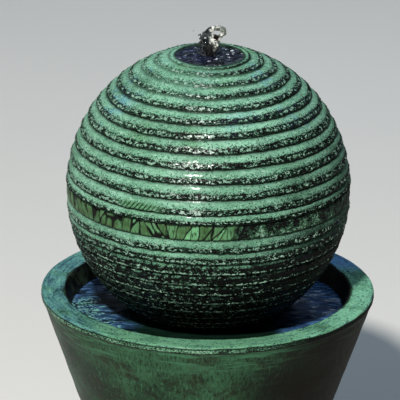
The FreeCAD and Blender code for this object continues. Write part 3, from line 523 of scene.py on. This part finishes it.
def jet_water():
    """Water that is broken up by air: clear and dark on the left as painted refraction of dark surroundings,
    and white on the right with foam and painted highlights.
    """
    water = Recipe("jet_water", Roughness=0.05, IOR=1.33)
    foam = water.grain(0.0035, detail=3.0, roughness=0.6)
    ragged = water.math("MULTIPLY", foam, 0.01)
    rightwards = water.rise(water.math("ADD", water.axis("X"), ragged), 0.001, 0.011)
    height = water.rise(water.axis("Z"), 0.62, 0.636)
    # Dark on the left as painted refraction, lighter on the right as painted light
    lit = water.math("MULTIPLY", rightwards, height)
    foam_and_glint = water.math("MULTIPLY", water.rise(foam, 0.5, 0.58), water.rise(lit, 0.0, 1.0, 0.15, 1.0))
    colour = water.mix(lit, srgb(44, 52, 60), srgb(140, 146, 138))
    colour = water.mix(foam_and_glint, colour, srgb(240, 242, 238))
    # The dark gap under the arch of water is painted shadow
    gap = water.rise(water.far_from((0.009, -0.006, 0.6455)), 0.0055, 0.0038)
    colour = water.mix(gap, colour, srgb(30, 22, 20))
    cloudy = water.math("MULTIPLY", water.math("ADD", foam_and_glint, gap), 0.45)
    return water.finish(
        Base_Color=colour,
        Transmission_Weight=water.math("SUBTRACT", 0.7, cloudy),
        Normal=water.bump(foam, 0.002, 0.7),
    )


def moulded(name, dark, light, grain_size=0.0012, gloss=0.35, **shader):
    """Moulded plastic or rubber, with a fine grain and faint handling marks."""
    skin = Recipe(name, **shader)
    fine = skin.grain(grain_size)
    broad = skin.grain(0.02)
    scuffs = skin.rise(skin.grain(0.003, detail=5.0, place=skin.stretched(1, 1, 0.2)), 0.6, 0.75)
    colour = skin.mix(skin.rise(broad, 0.3, 0.7), dark, light)
    paler = (*[min(1.0, share * 1.8 + 0.02) for share in light[:3]], 1.0)
    colour = skin.mix(skin.math("MULTIPLY", scuffs, 0.3), colour, paler)
    rough = skin.rise(skin.math("ADD", fine, scuffs), 0.3, 1.6, gloss, gloss + 0.3)
    return skin.finish(Base_Color=colour, Roughness=rough, Normal=skin.bump(fine, 0.0002, 0.4))


def fired(name, dark, light):
    """Unglazed stoneware: mottled, with dark iron specks and throwing lines."""
    clay = Recipe(name)
    mottle = clay.grain(0.012, detail=5.0)
    lines = clay.grain(0.0025, place=clay.stretched(0.08, 0.08, 1))
    specks = clay.rise(clay.cells(0.004), 0.16, 0.1)
    colour = clay.mix(mottle, dark, light)
    colour = clay.mix(specks, colour, srgb(46, 34, 28))
    relief = clay.math("ADD", clay.math("MULTIPLY", mottle, 0.5), lines)
    rough = clay.rise(mottle, 0.3, 0.7, 0.65, 0.85)
    return clay.finish(Base_Color=colour, Roughness=rough, Normal=clay.bump(relief, 0.0006, 0.6))


def brushed_steel():
    steel = Recipe("steel", Metallic=1.0)
    lines = steel.grain(0.0012, detail=5.0, place=steel.stretched(1, 1, 0.05))
    broad = steel.grain(0.01)
    colour = steel.mix(broad, srgb(150, 152, 154), srgb(186, 188, 190))
    rough = steel.rise(lines, 0.3, 0.7, 0.22, 0.42)
    return steel.finish(Base_Color=colour, Roughness=rough, Normal=steel.bump(lines, 0.0001, 0.4))


# ---- Ball --------------------------------------------------------------------------------------------

# One rib, as shares of the pitch below its upper groove: depth under the crest, roughness, loose flecks, and
# painted shade in the groove under the belt's overhang, with thin dark lines at the belt's edges
RIB_SHARE = (0.00, 0.05, 0.16, 0.30, 0.50, 0.58, 0.64, 0.80, 0.88, 0.93, 0.97, 1.00)
RIB_DEPTH = (3.90, 3.30, 2.30, 1.50, 0.85, 0.80, 0.30, 0.00, 0.10, 0.70, 2.90, 3.90)
RIB_ROUGH = (0.00, 0.00, 0.00, 0.00, 0.10, 0.70, 1.00, 1.00, 1.00, 0.90, 0.30, 0.00)
RIB_FLECK = (0.20, 0.10, 0.00, 0.15, 0.60, 1.00, 1.00, 1.00, 1.00, 0.60, 0.20, 0.10)
RIB_GROOVE_SHADE = (1.00, 0.70, 0.10, 0.00, 0.00, 0.35, 0.10, 0.00, 0.00, 0.45, 1.00, 1.00)
BELT_START = 0.56
RIB_ROWS = (0.0, 0.05, 0.12, 0.22, 0.34, 0.46, 0.55, 0.61, 0.67, 0.73, 0.79, 0.85, 0.90, 0.94, 0.97)


def on_ball(latitude, depth):
    """Radius and height of a latitude in degrees, at a depth in metres below the crests."""
    angle = latitude * DEGREE
    return (BALL_RADIUS - depth) * np.cos(angle), CENTRE + (HALF_HEIGHT - depth) * np.sin(angle)


def rib_rows(edges, seed):
    """Latitude and share of the pitch at each point of the ribs, whose edges wander a little."""
    circle = spin(BALL_RADIUS, 0.0, around(COLUMNS))
    wobble = []
    for k in range(len(edges)):
        ring = circle + [0, 0, 0.1 * k]
        small = 0.2 * noise(ring, 0.022, seed + 12) + 0.12 * noise(ring, 0.008, seed + 13)
        wobble.append(0.42 * noise(ring, 0.09, seed) + small)
    wobble[0] = wobble[-1] = np.zeros(COLUMNS)
    latitudes, shares = [], []
    for k, (upper, lower) in enumerate(zip(edges, edges[1:])):
        for share in RIB_ROWS:
            shift = wobble[k] * (1 - share) + wobble[k + 1] * share
            latitudes.append(upper + (lower - upper) * share + shift)
            shares.append(np.full(COLUMNS, share))
    return np.array(latitudes), np.array(shares)


def ribbed(edges, seed):
    """Rows of ribs between latitudes, top to bottom, as (radius, height, attributes)."""
    longitude = around(COLUMNS)
    east = wrapped_degrees(longitude)[None, :]
    latitude, share = rib_rows(edges, seed)
    smooth = spin(*on_ball(latitude, 0.0), longitude)
    # Parts of the ball, each fading out before the back
    # Towards the right the belts start earlier and carry fewer crumbs, as painted shade on that side
    to_right = ramp(east, -10, 60) * ramp(east, 175, 110)
    to_left = ramp(east, 10, -30) * ramp(east, -175, -110)
    low_down = ramp(latitude, -4, -20)
    # Where on the pitch the rough belt begins: late near the opening, early on the right and low down
    begins = 0.61 + 0.09 * ramp(latitude, 40, 62) - 0.1 * ramp(to_right, 0.2, 1.0) - 0.48 * low_down
    begins = begins + 0.05 * noise(smooth, 0.03, seed + 11)
    ragged = 0.06 * noise(smooth, 0.012, seed + 1) + 0.03 * noise(smooth, 0.005, seed + 2)
    shifted = np.clip(share + ragged * ramp(share, 0.3, 0.6), 0, 1)
    before = shifted / begins * BELT_START
    after = BELT_START + (shifted - begins) / (1 - begins) * (1 - BELT_START)
    belt_share = np.where(share == 0, 0.0, np.where(shifted < begins, before, after))
    # Belts fade out here and there, most of all on the front left near the opening
    patch = noise(smooth + [0, 0, 0.05], 0.07, seed + 3) + 0.4 * noise(smooth, 0.025, seed + 4)
    faded = np.clip(ramp(latitude, 46, 64) * (np.exp(-((east + 40) / 52) ** 2) + 0.25), 0, 1)
    strength = np.clip(ramp(patch, -1.2, -0.3) * 1.1 - 0.6 * faded, 0.08, 1)
    crumbs = noise(smooth, 0.0036, seed + 5) + 0.7 * noise(smooth, 0.002, seed + 6)
    lumps = noise(smooth, 0.018, seed + 7)
    belt = np.interp(belt_share, RIB_SHARE, RIB_ROUGH) * strength
    depth = np.interp(belt_share, RIB_SHARE, RIB_DEPTH) * (1 - 0.5 * faded)
    depth = depth - (0.8 * crumbs - 0.2) * belt - 0.25 * lumps
    groove = np.interp(belt_share, RIB_SHARE, RIB_GROOVE_SHADE) * (1 - 0.5 * faded)
    fleck = np.interp(belt_share, RIB_SHARE, RIB_FLECK)
    # Low down, rough patches spread over the smooth slopes as well
    spread = ramp(noise(smooth, 0.007, seed + 17) + 0.6 * noise(smooth, 0.003, seed + 18), -0.5, 0.2)
    belt = np.maximum(belt, 0.9 * low_down * spread)
    # One stretch of the rib above the band has slanting cuts in place of the rough belt
    stretch = np.exp(-(((east + 29) / 9) ** 4)) * ramp(share, 0.42, 0.52)
    hatch = stretch * ramp(abs(latitude - 9.2), 3.2, 2.2)
    belt = belt * (1 - 0.8 * hatch)
    # The wet streak down the front: glossier, with paler crumbs and belts as a painted glint
    stream = noise(smooth * [1, 1, 0.12], 0.03, seed + 8)
    wet_and_glint = np.exp(-((east + 6 + 4 * stream) / 11) ** 2) * ramp(latitude, -8, 20)
    wet_and_glint = np.maximum(wet_and_glint, 0.4 * ramp(stream, 0.35, 0.8))
    tone = 1.3 * noise(smooth * [1, 1, 0.6], 0.05, seed + 9)
    # Bluer high on the left and right, as painted sky light
    painted_sky_blue = 1.8 * np.exp(-(((east + 70) / 13) ** 2)) + 1.0 * np.exp(-(((east - 55) / 22) ** 2))
    tone = tone + painted_sky_blue * ramp(latitude, 22, 40) * (0.6 + noise(smooth, 0.012, seed + 15))
    # Darker low down as grime, and on the right as painted shade
    grime_and_shade = ramp(latitude + 8 - 14 * to_right, 1, -26) + 0.6 * to_right * ramp(latitude, 55, 0)
    grime_and_shade = np.clip(np.maximum(grime_and_shade, 0.6 * low_down) + 0.3 * noise(smooth, 0.04, seed + 10), 0, 1)
    # Low down, only the crests keep their pale crumbs, partly pale glaze and partly a painted highlight on
    # each crest
    crest = np.exp(-(((share - 0.72) / 0.08) ** 2))
    clumps = noise(smooth, 0.011, seed + 16) * ramp(latitude, -2, -6) * ramp(latitude, -24, -12)
    relief = crumbs * (1 - 0.3 * low_down) + 0.8 * clumps
    relief = relief + low_down * (5.4 * crest - 2.2 - 2.1 * to_right)
    middle = np.exp(-(((belt_share - 0.76) / 0.1) ** 2))
    # Greyer crumbs on the left as painted light, fewer on the right as painted shade
    lit_left_shaded_right = 0.7 * to_left - 0.5 * to_right
    relief = relief + (1 - low_down) * (1.2 * middle - 0.75 + lit_left_shaded_right) + 0.5 * wet_and_glint * middle
    attributes = {
        "belt": belt, "relief": relief, "fleck": fleck, "groove": groove, "wet_and_glint": wet_and_glint, "tone": tone,
        "grime_and_shade": grime_and_shade, "hatch": hatch,
    }
    radius, height = on_ball(latitude, depth * MM)
    return radius, height, attributes


def shell(name, before, ribs, after):
    """A closed shell: plain rows before the ribs, the ribs, and plain rows after them."""
    radius, height, attributes = ribs

    def plain(rows):
        return [np.array([row[axis] for row in rows])[:, None] * np.ones(COLUMNS) for axis in (0, 1)]

    first, last = plain(before), plain(after)
    height = np.concatenate([first[1], height, last[1]])
    radius = np.concatenate([first[0], radius, last[0]])
    dip = LIP_DIP * (1 + np.cos(around(COLUMNS))) / 2 * ramp(height, 0.6, 0.62) * ramp(radius, 0.07, 0.052)
    points = spin(radius, height - dip, around(COLUMNS))
    filled = {}
    for key, values in attributes.items():
        # The plain rows of the opening, the joint and the hollow get painted shade nearly as dark as a groove
        value = 0.9 if key == "groove" else 0.0
        head = np.full((len(before), COLUMNS), value)
        tail = np.full((len(after), COLUMNS), value)
        filled[key] = np.concatenate([head, values, tail])
    return lathe(name, points, attributes=filled)


def cavity(low, high, count):
    """Rows up the wall of the ball's hollow between two heights above its centre."""
    angles = np.linspace(math.asin(low / CAVITY_RADIUS), math.asin(high / CAVITY_RADIUS), count)
    return [(CAVITY_RADIUS * math.cos(angle), CENTRE + CAVITY_RADIUS * math.sin(angle)) for angle in angles]


def make_ball(glaze):
    lip_latitude = math.degrees(math.acos(LIP_RADIUS / BALL_RADIUS))
    lip_height = CENTRE + HALF_HEIGHT * math.sin(lip_latitude * DEGREE)
    upper = ribbed([lip_latitude, *UPPER_GROOVES, BAND_TOP], 11)
    ledge_rise = math.sqrt(CAVITY_RADIUS ** 2 - LEDGE_RADIUS ** 2)
    opening = [
        *cavity(HALF_JOINT - CENTRE, ledge_rise, 14),
        (LEDGE_RADIUS, LEDGE_HEIGHT),
        (OPENING_RADIUS, LEDGE_HEIGHT),
        (OPENING_RADIUS, lip_height - 2.6 * MM),
        (OPENING_RADIUS + 0.5 * MM, lip_height - 1.4 * MM),
        (OPENING_RADIUS + 1.5 * MM, lip_height - 0.5 * MM),
    ]
    band_top = on_ball(BAND_TOP, 0.0)[1]
    joint = [(BALL_RADIUS, band_top), (REBATE_RADIUS, band_top), (REBATE_RADIUS, HALF_JOINT)]
    upper_shell = shell("ball_upper_shell_looks", opening, upper, joint)
    own(upper_shell, "ball", "ball_glaze", glaze, "ball_upper_shell")

    band_bottom = on_ball(BAND_BOTTOM, 0.0)[1]
    foot_latitude = math.degrees(math.asin((FOOT_HEIGHT - CENTRE) / HALF_HEIGHT)) + 0.4
    lower = ribbed([BAND_BOTTOM, *LOWER_GROOVES, foot_latitude], 41)
    rebate = [(REBATE_RADIUS, HALF_JOINT), (REBATE_RADIUS, band_bottom)]
    foot = [
        (FOOT_RADIUS, FOOT_HEIGHT),
        (45 * MM, FOOT_HEIGHT),
        (FOOT_HOLE_RADIUS, FOOT_HEIGHT),
        (FOOT_HOLE_RADIUS, FOOT_FLOOR),
        *cavity(FOOT_FLOOR - CENTRE, HALF_JOINT - CENTRE, 14),
    ]
    lower_shell = shell("ball_lower_shell_looks", rebate, lower, foot)
    own(lower_shell, "ball", "ball_glaze", glaze, "ball_lower_shell")


def make_band(glaze):
    """The band over the joint, with its glaze crawled into leaf-shaped cells."""
    columns = 1400
    top = on_ball(BAND_TOP, 0.0)[1]
    bottom = on_ball(BAND_BOTTOM, 0.0)[1]
    longitude = around(columns)
    height = np.linspace(top, bottom, 41)[:, None]
    outer = BALL_RADIUS - 1 * MM
    # Cells: seed points scattered over the unrolled band, leaning one way and then the other
    along = longitude * outer
    girth = 2 * math.pi * outer
    chance = np.random.RandomState(5)
    count = 84  # cells along the band's full girth
    seeds = []
    for k in range(count):
        middle = (k + chance.uniform(-0.4, 0.4)) * girth / count
        seeds.append((middle, chance.uniform(0.3, 0.7)))
        if chance.uniform() < 0.45:
            seeds.append((middle + chance.uniform(-4, 4) * MM, chance.choice([0.02, 0.98])))
    tones = chance.uniform(0, 1, len(seeds))
    up = (height - bottom) / (top - bottom)
    place = spin(outer, height, longitude)
    lean = 1.1 * noise(spin(outer, 0.0, longitude), 0.04, 60)
    bend = 1.6 * MM * noise(place, 0.009, 61)
    nearest = np.full((len(height), columns), 1e9)
    second = nearest.copy()
    shade = np.zeros_like(nearest)
    for (seed_along, seed_up), tone in zip(seeds, tones):
        rise = (up - seed_up) * (top - bottom)
        gap = (along + bend + lean * rise - seed_along + girth / 2) % girth - girth / 2
        distance = np.hypot(gap, rise * 0.42)
        closer = distance < nearest
        second = np.where(closer, nearest, np.minimum(second, distance))
        shade = np.where(closer, tone, shade)
        nearest = np.minimum(nearest, distance)
    wide = (1.7 + 1.3 * noise(place, 0.01, 68)) * MM
    crack = ramp(second - nearest, wide + 0.9 * MM, wide - 0.5 * MM)
    east = wrapped_degrees(longitude)
    behind = noise(place * [1, 1, 0.5], 0.09, 62) * ramp(np.abs(east), 80, 110)
    ragged = 2.5 * noise(place, 0.012, 64)
    worn = ramp(east + ragged, 7, 12) * ramp(east, 130, 100) + ramp(behind, 0.1, 0.3)
    worn = np.clip(worn, 0, 1)
    crumbs = noise(place, 0.004, 63) + 0.6 * noise(place, 0.0023, 65)
    edge = ramp(up, 0.12, 0.0) + ramp(up + 0.1 * noise(place, 0.008, 66), 0.82, 0.94)
    duller = ramp(east, -38, -56) * ramp(east, -175, -120)
    shade = np.clip(shade * (1 - 0.75 * duller) + 0.25 * noise(place, 0.01, 67), 0, 1)
    depth = (0.9 * crack * (1 - 0.7 * worn) + 0.7 * worn * (0.6 - crumbs) + 0.8 * edge) * MM
    face = spin(outer - depth, height, longitude)
    inner = REBATE_RADIUS
    back = [spin(inner, z, longitude) for z in (bottom, (top + bottom) / 2, top)]
    points = np.concatenate([face, np.stack(back)])
    rows = len(back)
    shown = {"crack": np.maximum(crack * (1 - worn), 0.8 * edge), "shade": shade, "worn": worn}
    attributes = {}
    for key, values in shown.items():
        attributes[key] = np.concatenate([values + np.zeros_like(nearest), np.zeros((rows, columns))])
    band = lathe("joint_band_looks", points, attributes=attributes)
    own(band, "ball", "band_glaze", glaze, "joint_band")


# ---- Pot ---------------------------------------------------------------------------------------------


def make_pot(glaze):
    outline = rounded(
        [
            (6, 4, 0), (129, 4, 5), (222.5, 278.3, 0.8), (225, 281.5, 1.5), (225, 290, 4.5),
            (192, 290, 5.5), (113, 25, 16), (6, 25, 0),
        ],
        2.2,
    )
    columns = 480
    longitude = around(columns)
    radius, height = outline[:, 0][:, None], outline[:, 1][:, None]
    place = spin(radius, height, longitude)
    rim = ramp(height, 0.2795, 0.2815)
    thrown = 0.5 * noise(place * [0.25, 0.25, 1], 0.02, 71) + 0.5 * noise(place, 0.12, 72)
    beads = rim * (0.32 * noise(place, 0.004, 73) + 0.2 * noise(place, 0.009, 74))
    brushed = 0.12 * noise(place * [1, 1, 0.06], 0.005, 75)
    swell = (thrown + beads + brushed) * MM * ramp(radius, 0.02, 0.08)
    inward = np.where(np.arange(len(outline))[:, None] > len(outline) * 0.55, -1, 1)
    lift = 0.35 * MM * noise(place, 0.05, 76) * ramp(height, 0.285, 0.29)
    pot = lathe("pot_looks", spin(radius + inward * swell, height + lift, longitude), closed=False)
    cut_bung_hole(pot)
    own(pot, "basin", "pot_glaze", glaze, "pot")


def cut_bung_hole(pot):
    """Cuts the stopper's hole and its flat seat, low in the back of the pot."""
    hole_height = 50 * MM
    length = 100 * MM
    lying = Matrix.Rotation(math.pi / 2, 4, "X")
    for name, radius, start in (("bung_hole_tool", 11 * MM, 95 * MM), ("bung_seat_tool", 17 * MM, 137 * MM)):
        bpy.ops.mesh.primitive_cylinder_add(vertices=48, radius=radius, depth=length)
        tool = bpy.context.object
        tool.name = name
        tool.data.transform(Matrix.Translation((0, start + length / 2, hole_height)) @ lying)
        cut = pot.modifiers.new("cut", "BOOLEAN")
        cut.operation = "DIFFERENCE"
        cut.solver = "EXACT"
        cut.object = tool
        bpy.context.view_layer.objects.active = pot
        bpy.ops.object.modifier_apply(modifier="cut")
        bpy.data.objects.remove(tool)


# ---- Water -------------------------------------------------------------------------------------------


def water_disc(name, radius, level, thickness, swell, rows=90, columns=220):
    """A thin round sheet of water, with swell(points) as the height of its waves."""
    steps = np.linspace(0.01, 1, rows)[:, None] * radius
    longitude = around(columns)
    flat = spin(steps, level, longitude)
    waves = swell(flat)
    top = flat + np.stack([0 * waves, 0 * waves, waves], axis=-1)
    bottom = flat[::-1][::6] - [0, 0, thickness]
    return lathe(name, np.concatenate([top, bottom]), closed=False)


def make_water():
    def basin_swell(points):
        distance = np.hypot(points[..., 0], points[..., 1])
        rings = np.sin(distance / 0.0042) * ramp(distance, 0.08, 0.1) * 0.35
        return (0.9 * noise(points * [1, 1.5, 1], 0.022, 81) + 0.5 * noise(points, 0.009, 82) + rings) * MM

    basin = water_disc("basin_water_looks", BASIN_RADIUS, BASIN_LEVEL, 2 * MM, basin_swell)
    own(basin, "basin", "pot_glaze", basin_water())

    def pool_swell(points):
        distance = np.hypot(points[..., 0] - 0.004, points[..., 1])
        rings = np.exp(-distance / 0.02) * np.sin(distance / 0.0019) * 0.9
        edge = ramp(distance, 0.036, 0.046) * -0.4
        waves = 0.8 * noise(points * [1, 1.4, 1], 0.012, 83) + 0.35 * noise(points, 0.005, 84)
        return (waves + rings + edge) * MM

    pool = water_disc("pool_water_looks", POOL_RADIUS, POOL_LEVEL, 1.5 * MM, pool_swell, rows=80, columns=200)
    own(pool, "ball", "ball_glaze", pool_water())


def add_drop(mesh, place, radius):
    bmesh.ops.create_icosphere(mesh, subdivisions=2, radius=radius, matrix=Matrix.Translation(place))


def blob_chain(mesh, stops):
    """Adds overlapping round lumps along (x, y, z, radius) stops, in millimetres."""
    for start, end in zip(stops, stops[1:]):
        span = (Vector(end[:3]) - Vector(start[:3])).length
        count = max(1, math.ceil(span / (0.35 * min(start[3], end[3]))))
        for k in range(count + 1):
            part = k / count
            place = Vector(start[:3]).lerp(Vector(end[:3]), part) * MM
            size = (start[3] + (end[3] - start[3]) * part) * MM
            add_drop(mesh, place, size)


# The jet as chains of (x, y, z, radius) stops in millimetres
JET = (
    # wet sheath round the nozzle
    ((-3, 1, 619, 8.0), (-4, 1, 625, 7.0), (-5, 1, 631, 6.4), (-5, 1, 636, 5.2)),
    # the column, leaning to the right as it leaves the nozzle
    ((5, -2, 620, 4.6), (6, -2, 626, 5.0), (7, -2, 632, 6.0), (8, -2, 638, 6.4), (7, -1, 643, 5.0)),
    ((3, 0, 634, 6.0), (1, 0, 641, 5.2), (0, 0, 647, 5.4)),
    # left lobe and the arch that falls over to the right
    ((-4, 0, 648, 4.6), (0, 0, 652, 4.6), (1, 0, 654, 3.8), (7, 1, 656, 3.4), (13, 1, 655.6, 3.8)),
    ((13, 1, 655.6, 3.8), (18, 0, 653.5, 4.2), (19, -1, 649.5, 3.2), (15, -2, 646, 2.8), (11, -2, 643, 2.8)),
    # thin sheet thrown to the left
    ((-3, 0, 650, 3.6), (-7, 1, 648, 2.8), (-9, 1, 643, 2.0), (-10, 0, 637, 1.6)),
)


def make_jet():
    mesh = bmesh.new()
    for stops in JET:
        blob_chain(mesh, stops)
    chance = np.random.RandomState(9)
    for _ in range(60):  # droplets thrown to the left
        fall = chance.uniform(0, 30)
        side = chance.normal(-9 - 0.12 * fall, 3.2)
        spot = Vector((side, chance.normal(0, 4), 650 - fall)) * MM
        add_drop(mesh, spot, chance.uniform(0.7, 1.5) * MM)
    data = bpy.data.meshes.new("jet_looks")
    mesh.to_mesh(data)
    mesh.free()
    jet = bpy.data.objects.new("jet_looks", data)
    bpy.context.scene.collection.objects.link(jet)
    bpy.context.view_layer.objects.active = jet
    merge = jet.modifiers.new("merge", "REMESH")
    merge.mode = "VOXEL"
    merge.voxel_size = 0.45 * MM
    bpy.ops.object.modifier_apply(modifier="merge")
    soften = jet.modifiers.new("soften", "SMOOTH")
    soften.iterations = 4
    bpy.ops.object.modifier_apply(modifier="soften")
    count = len(data.vertices)
    place = np.zeros(count * 3, np.float32)
    data.vertices.foreach_get("co", place)
    normal = np.zeros(count * 3, np.float32)
    data.vertices.foreach_get("normal", normal)
    place = place.reshape(-1, 3)
    ripple = 0.7 * noise(place, 0.006, 91) + 0.35 * noise(place, 0.0028, 92)
    place = place + normal.reshape(-1, 3) * (ripple * MM)[:, None]
    data.vertices.foreach_set("co", place.astype(np.float32).reshape(-1))
    data.update()
    data.shade_smooth()
    own(jet, "ball", "ball_glaze", jet_water())


# ---- CAD nodes that are kept -------------------------------------------------------------------------


def dress_nodes():
    """Gives each CAD node that still shows the material of its slot."""
    magnet = moulded("magnet_ferrite", srgb(40, 40, 44), srgb(60, 60, 64), 0.0012, 0.4, Metallic=0.4)
    finishes = {
        "stoneware": fired("stoneware", srgb(126, 92, 70), srgb(168, 130, 100)),
        "magnet_ferrite": magnet,
        "steel": brushed_steel(),
    }
    for name, dark, light, grain_size, gloss in (
        ("black_rubber", (22, 22, 23), (34, 34, 34), 0.0009, 0.55),
        ("dish_plastic", (16, 18, 22), (28, 30, 36), 0.001, 0.3),
        ("fitting_plastic", (34, 36, 38), (50, 52, 54), 0.001, 0.35),
        ("nozzle_plastic", (12, 12, 14), (22, 22, 24), 0.0008, 0.25),
        ("pipe_plastic", (176, 186, 190), (200, 208, 210), 0.0015, 0.25),
        ("pump_plastic", (20, 21, 23), (32, 33, 35), 0.001, 0.35),
        ("impeller_plastic", (192, 190, 182), (214, 212, 204), 0.001, 0.35),
        ("shaft_ceramic", (222, 218, 206), (236, 232, 222), 0.002, 0.15),
    ):
        finishes[name] = moulded(name, srgb(*dark), srgb(*light), grain_size, gloss)
    slots = {part["node"]: part["material_slot"] for part in frame["record"]["subparts"]}
    for name, node in frame["nodes"].items():
        finish = finishes.get(slots[name])
        if finish:
            for place in node.material_slots:
                place.material = finish


# ---- Stage, light and camera -------------------------------------------------------------------------


def make_stage():
    bpy.ops.mesh.primitive_plane_add(size=30)
    floor = bpy.context.object
    floor.name = "floor"
    paper = Recipe("pale_floor", Roughness=0.85)
    shade = paper.mix(paper.grain(0.4), srgb(208, 206, 201), srgb(213, 211, 206))
    floor.data.materials.append(paper.finish(Base_Color=shade))


def area_light(name, place, target, size, power, colour=(1, 1, 1)):
    data = bpy.data.lights.new(name, "AREA")
    data.shape = "DISK"
    data.size = size
    data.energy = power
    data.color = colour
    light = bpy.data.objects.new(name, data)
    light.location = place
    light.rotation_euler = (Vector(target) - Vector(place)).to_track_quat("-Z", "Y").to_euler()
    bpy.context.scene.collection.objects.link(light)


def make_light():
    world = bpy.data.worlds.new("studio")
    world.use_nodes = True
    sky = world.node_tree.nodes["Background"]
    sky.inputs["Color"].default_value = (0.72, 0.86, 1.0, 1)
    sky.inputs["Strength"].default_value = 0.05
    bpy.context.scene.world = world
    middle = Vector((0, 0, 0.42))
    azimuth, elevation = -16 * DEGREE, 49 * DEGREE
    towards = Vector((
        math.sin(azimuth) * math.cos(elevation),
        -math.cos(azimuth) * math.cos(elevation),
        math.sin(elevation),
    ))
    area_light("key", middle + 5.5 * towards, middle, 0.4, 430, (1.0, 0.97, 0.92))
    area_light("sky", (0.8, 2.2, 3.4), middle, 3.0, 50, (0.62, 0.8, 1.0))
    area_light("left_edge", (-2.8, 2.2, 1.4), middle, 0.8, 8, (0.9, 0.95, 1.0))


def make_camera():
    """The photograph's view: a long lens, about 19.5 degrees above the horizontal."""
    data = bpy.data.cameras.new("camera")
    data.lens = 361.8
    data.sensor_width = 36
    camera = bpy.data.objects.new("camera", data)
    target = Vector((-0.0111, 0, 0.4144))
    elevation = 19.5 * DEGREE
    distance = 5.4
    roll = 0.45 * DEGREE
    offset = Vector((0, -math.cos(elevation), math.sin(elevation))) * distance
    aim = (-offset).to_track_quat("-Z", "Y").to_matrix().to_4x4()
    camera.matrix_world = Matrix.Translation(target + offset) @ aim @ Matrix.Rotation(roll, 4, "Z")
    bpy.context.scene.collection.objects.link(camera)
    bpy.context.scene.camera = camera


make_camera()
make_stage()
make_light()
dress_nodes()
make_ball(ball_glaze())
make_band(band_glaze())
make_pot(pot_glaze())
make_water()
make_jet()
bpy.context.scene.view_settings.view_transform = "Standard"
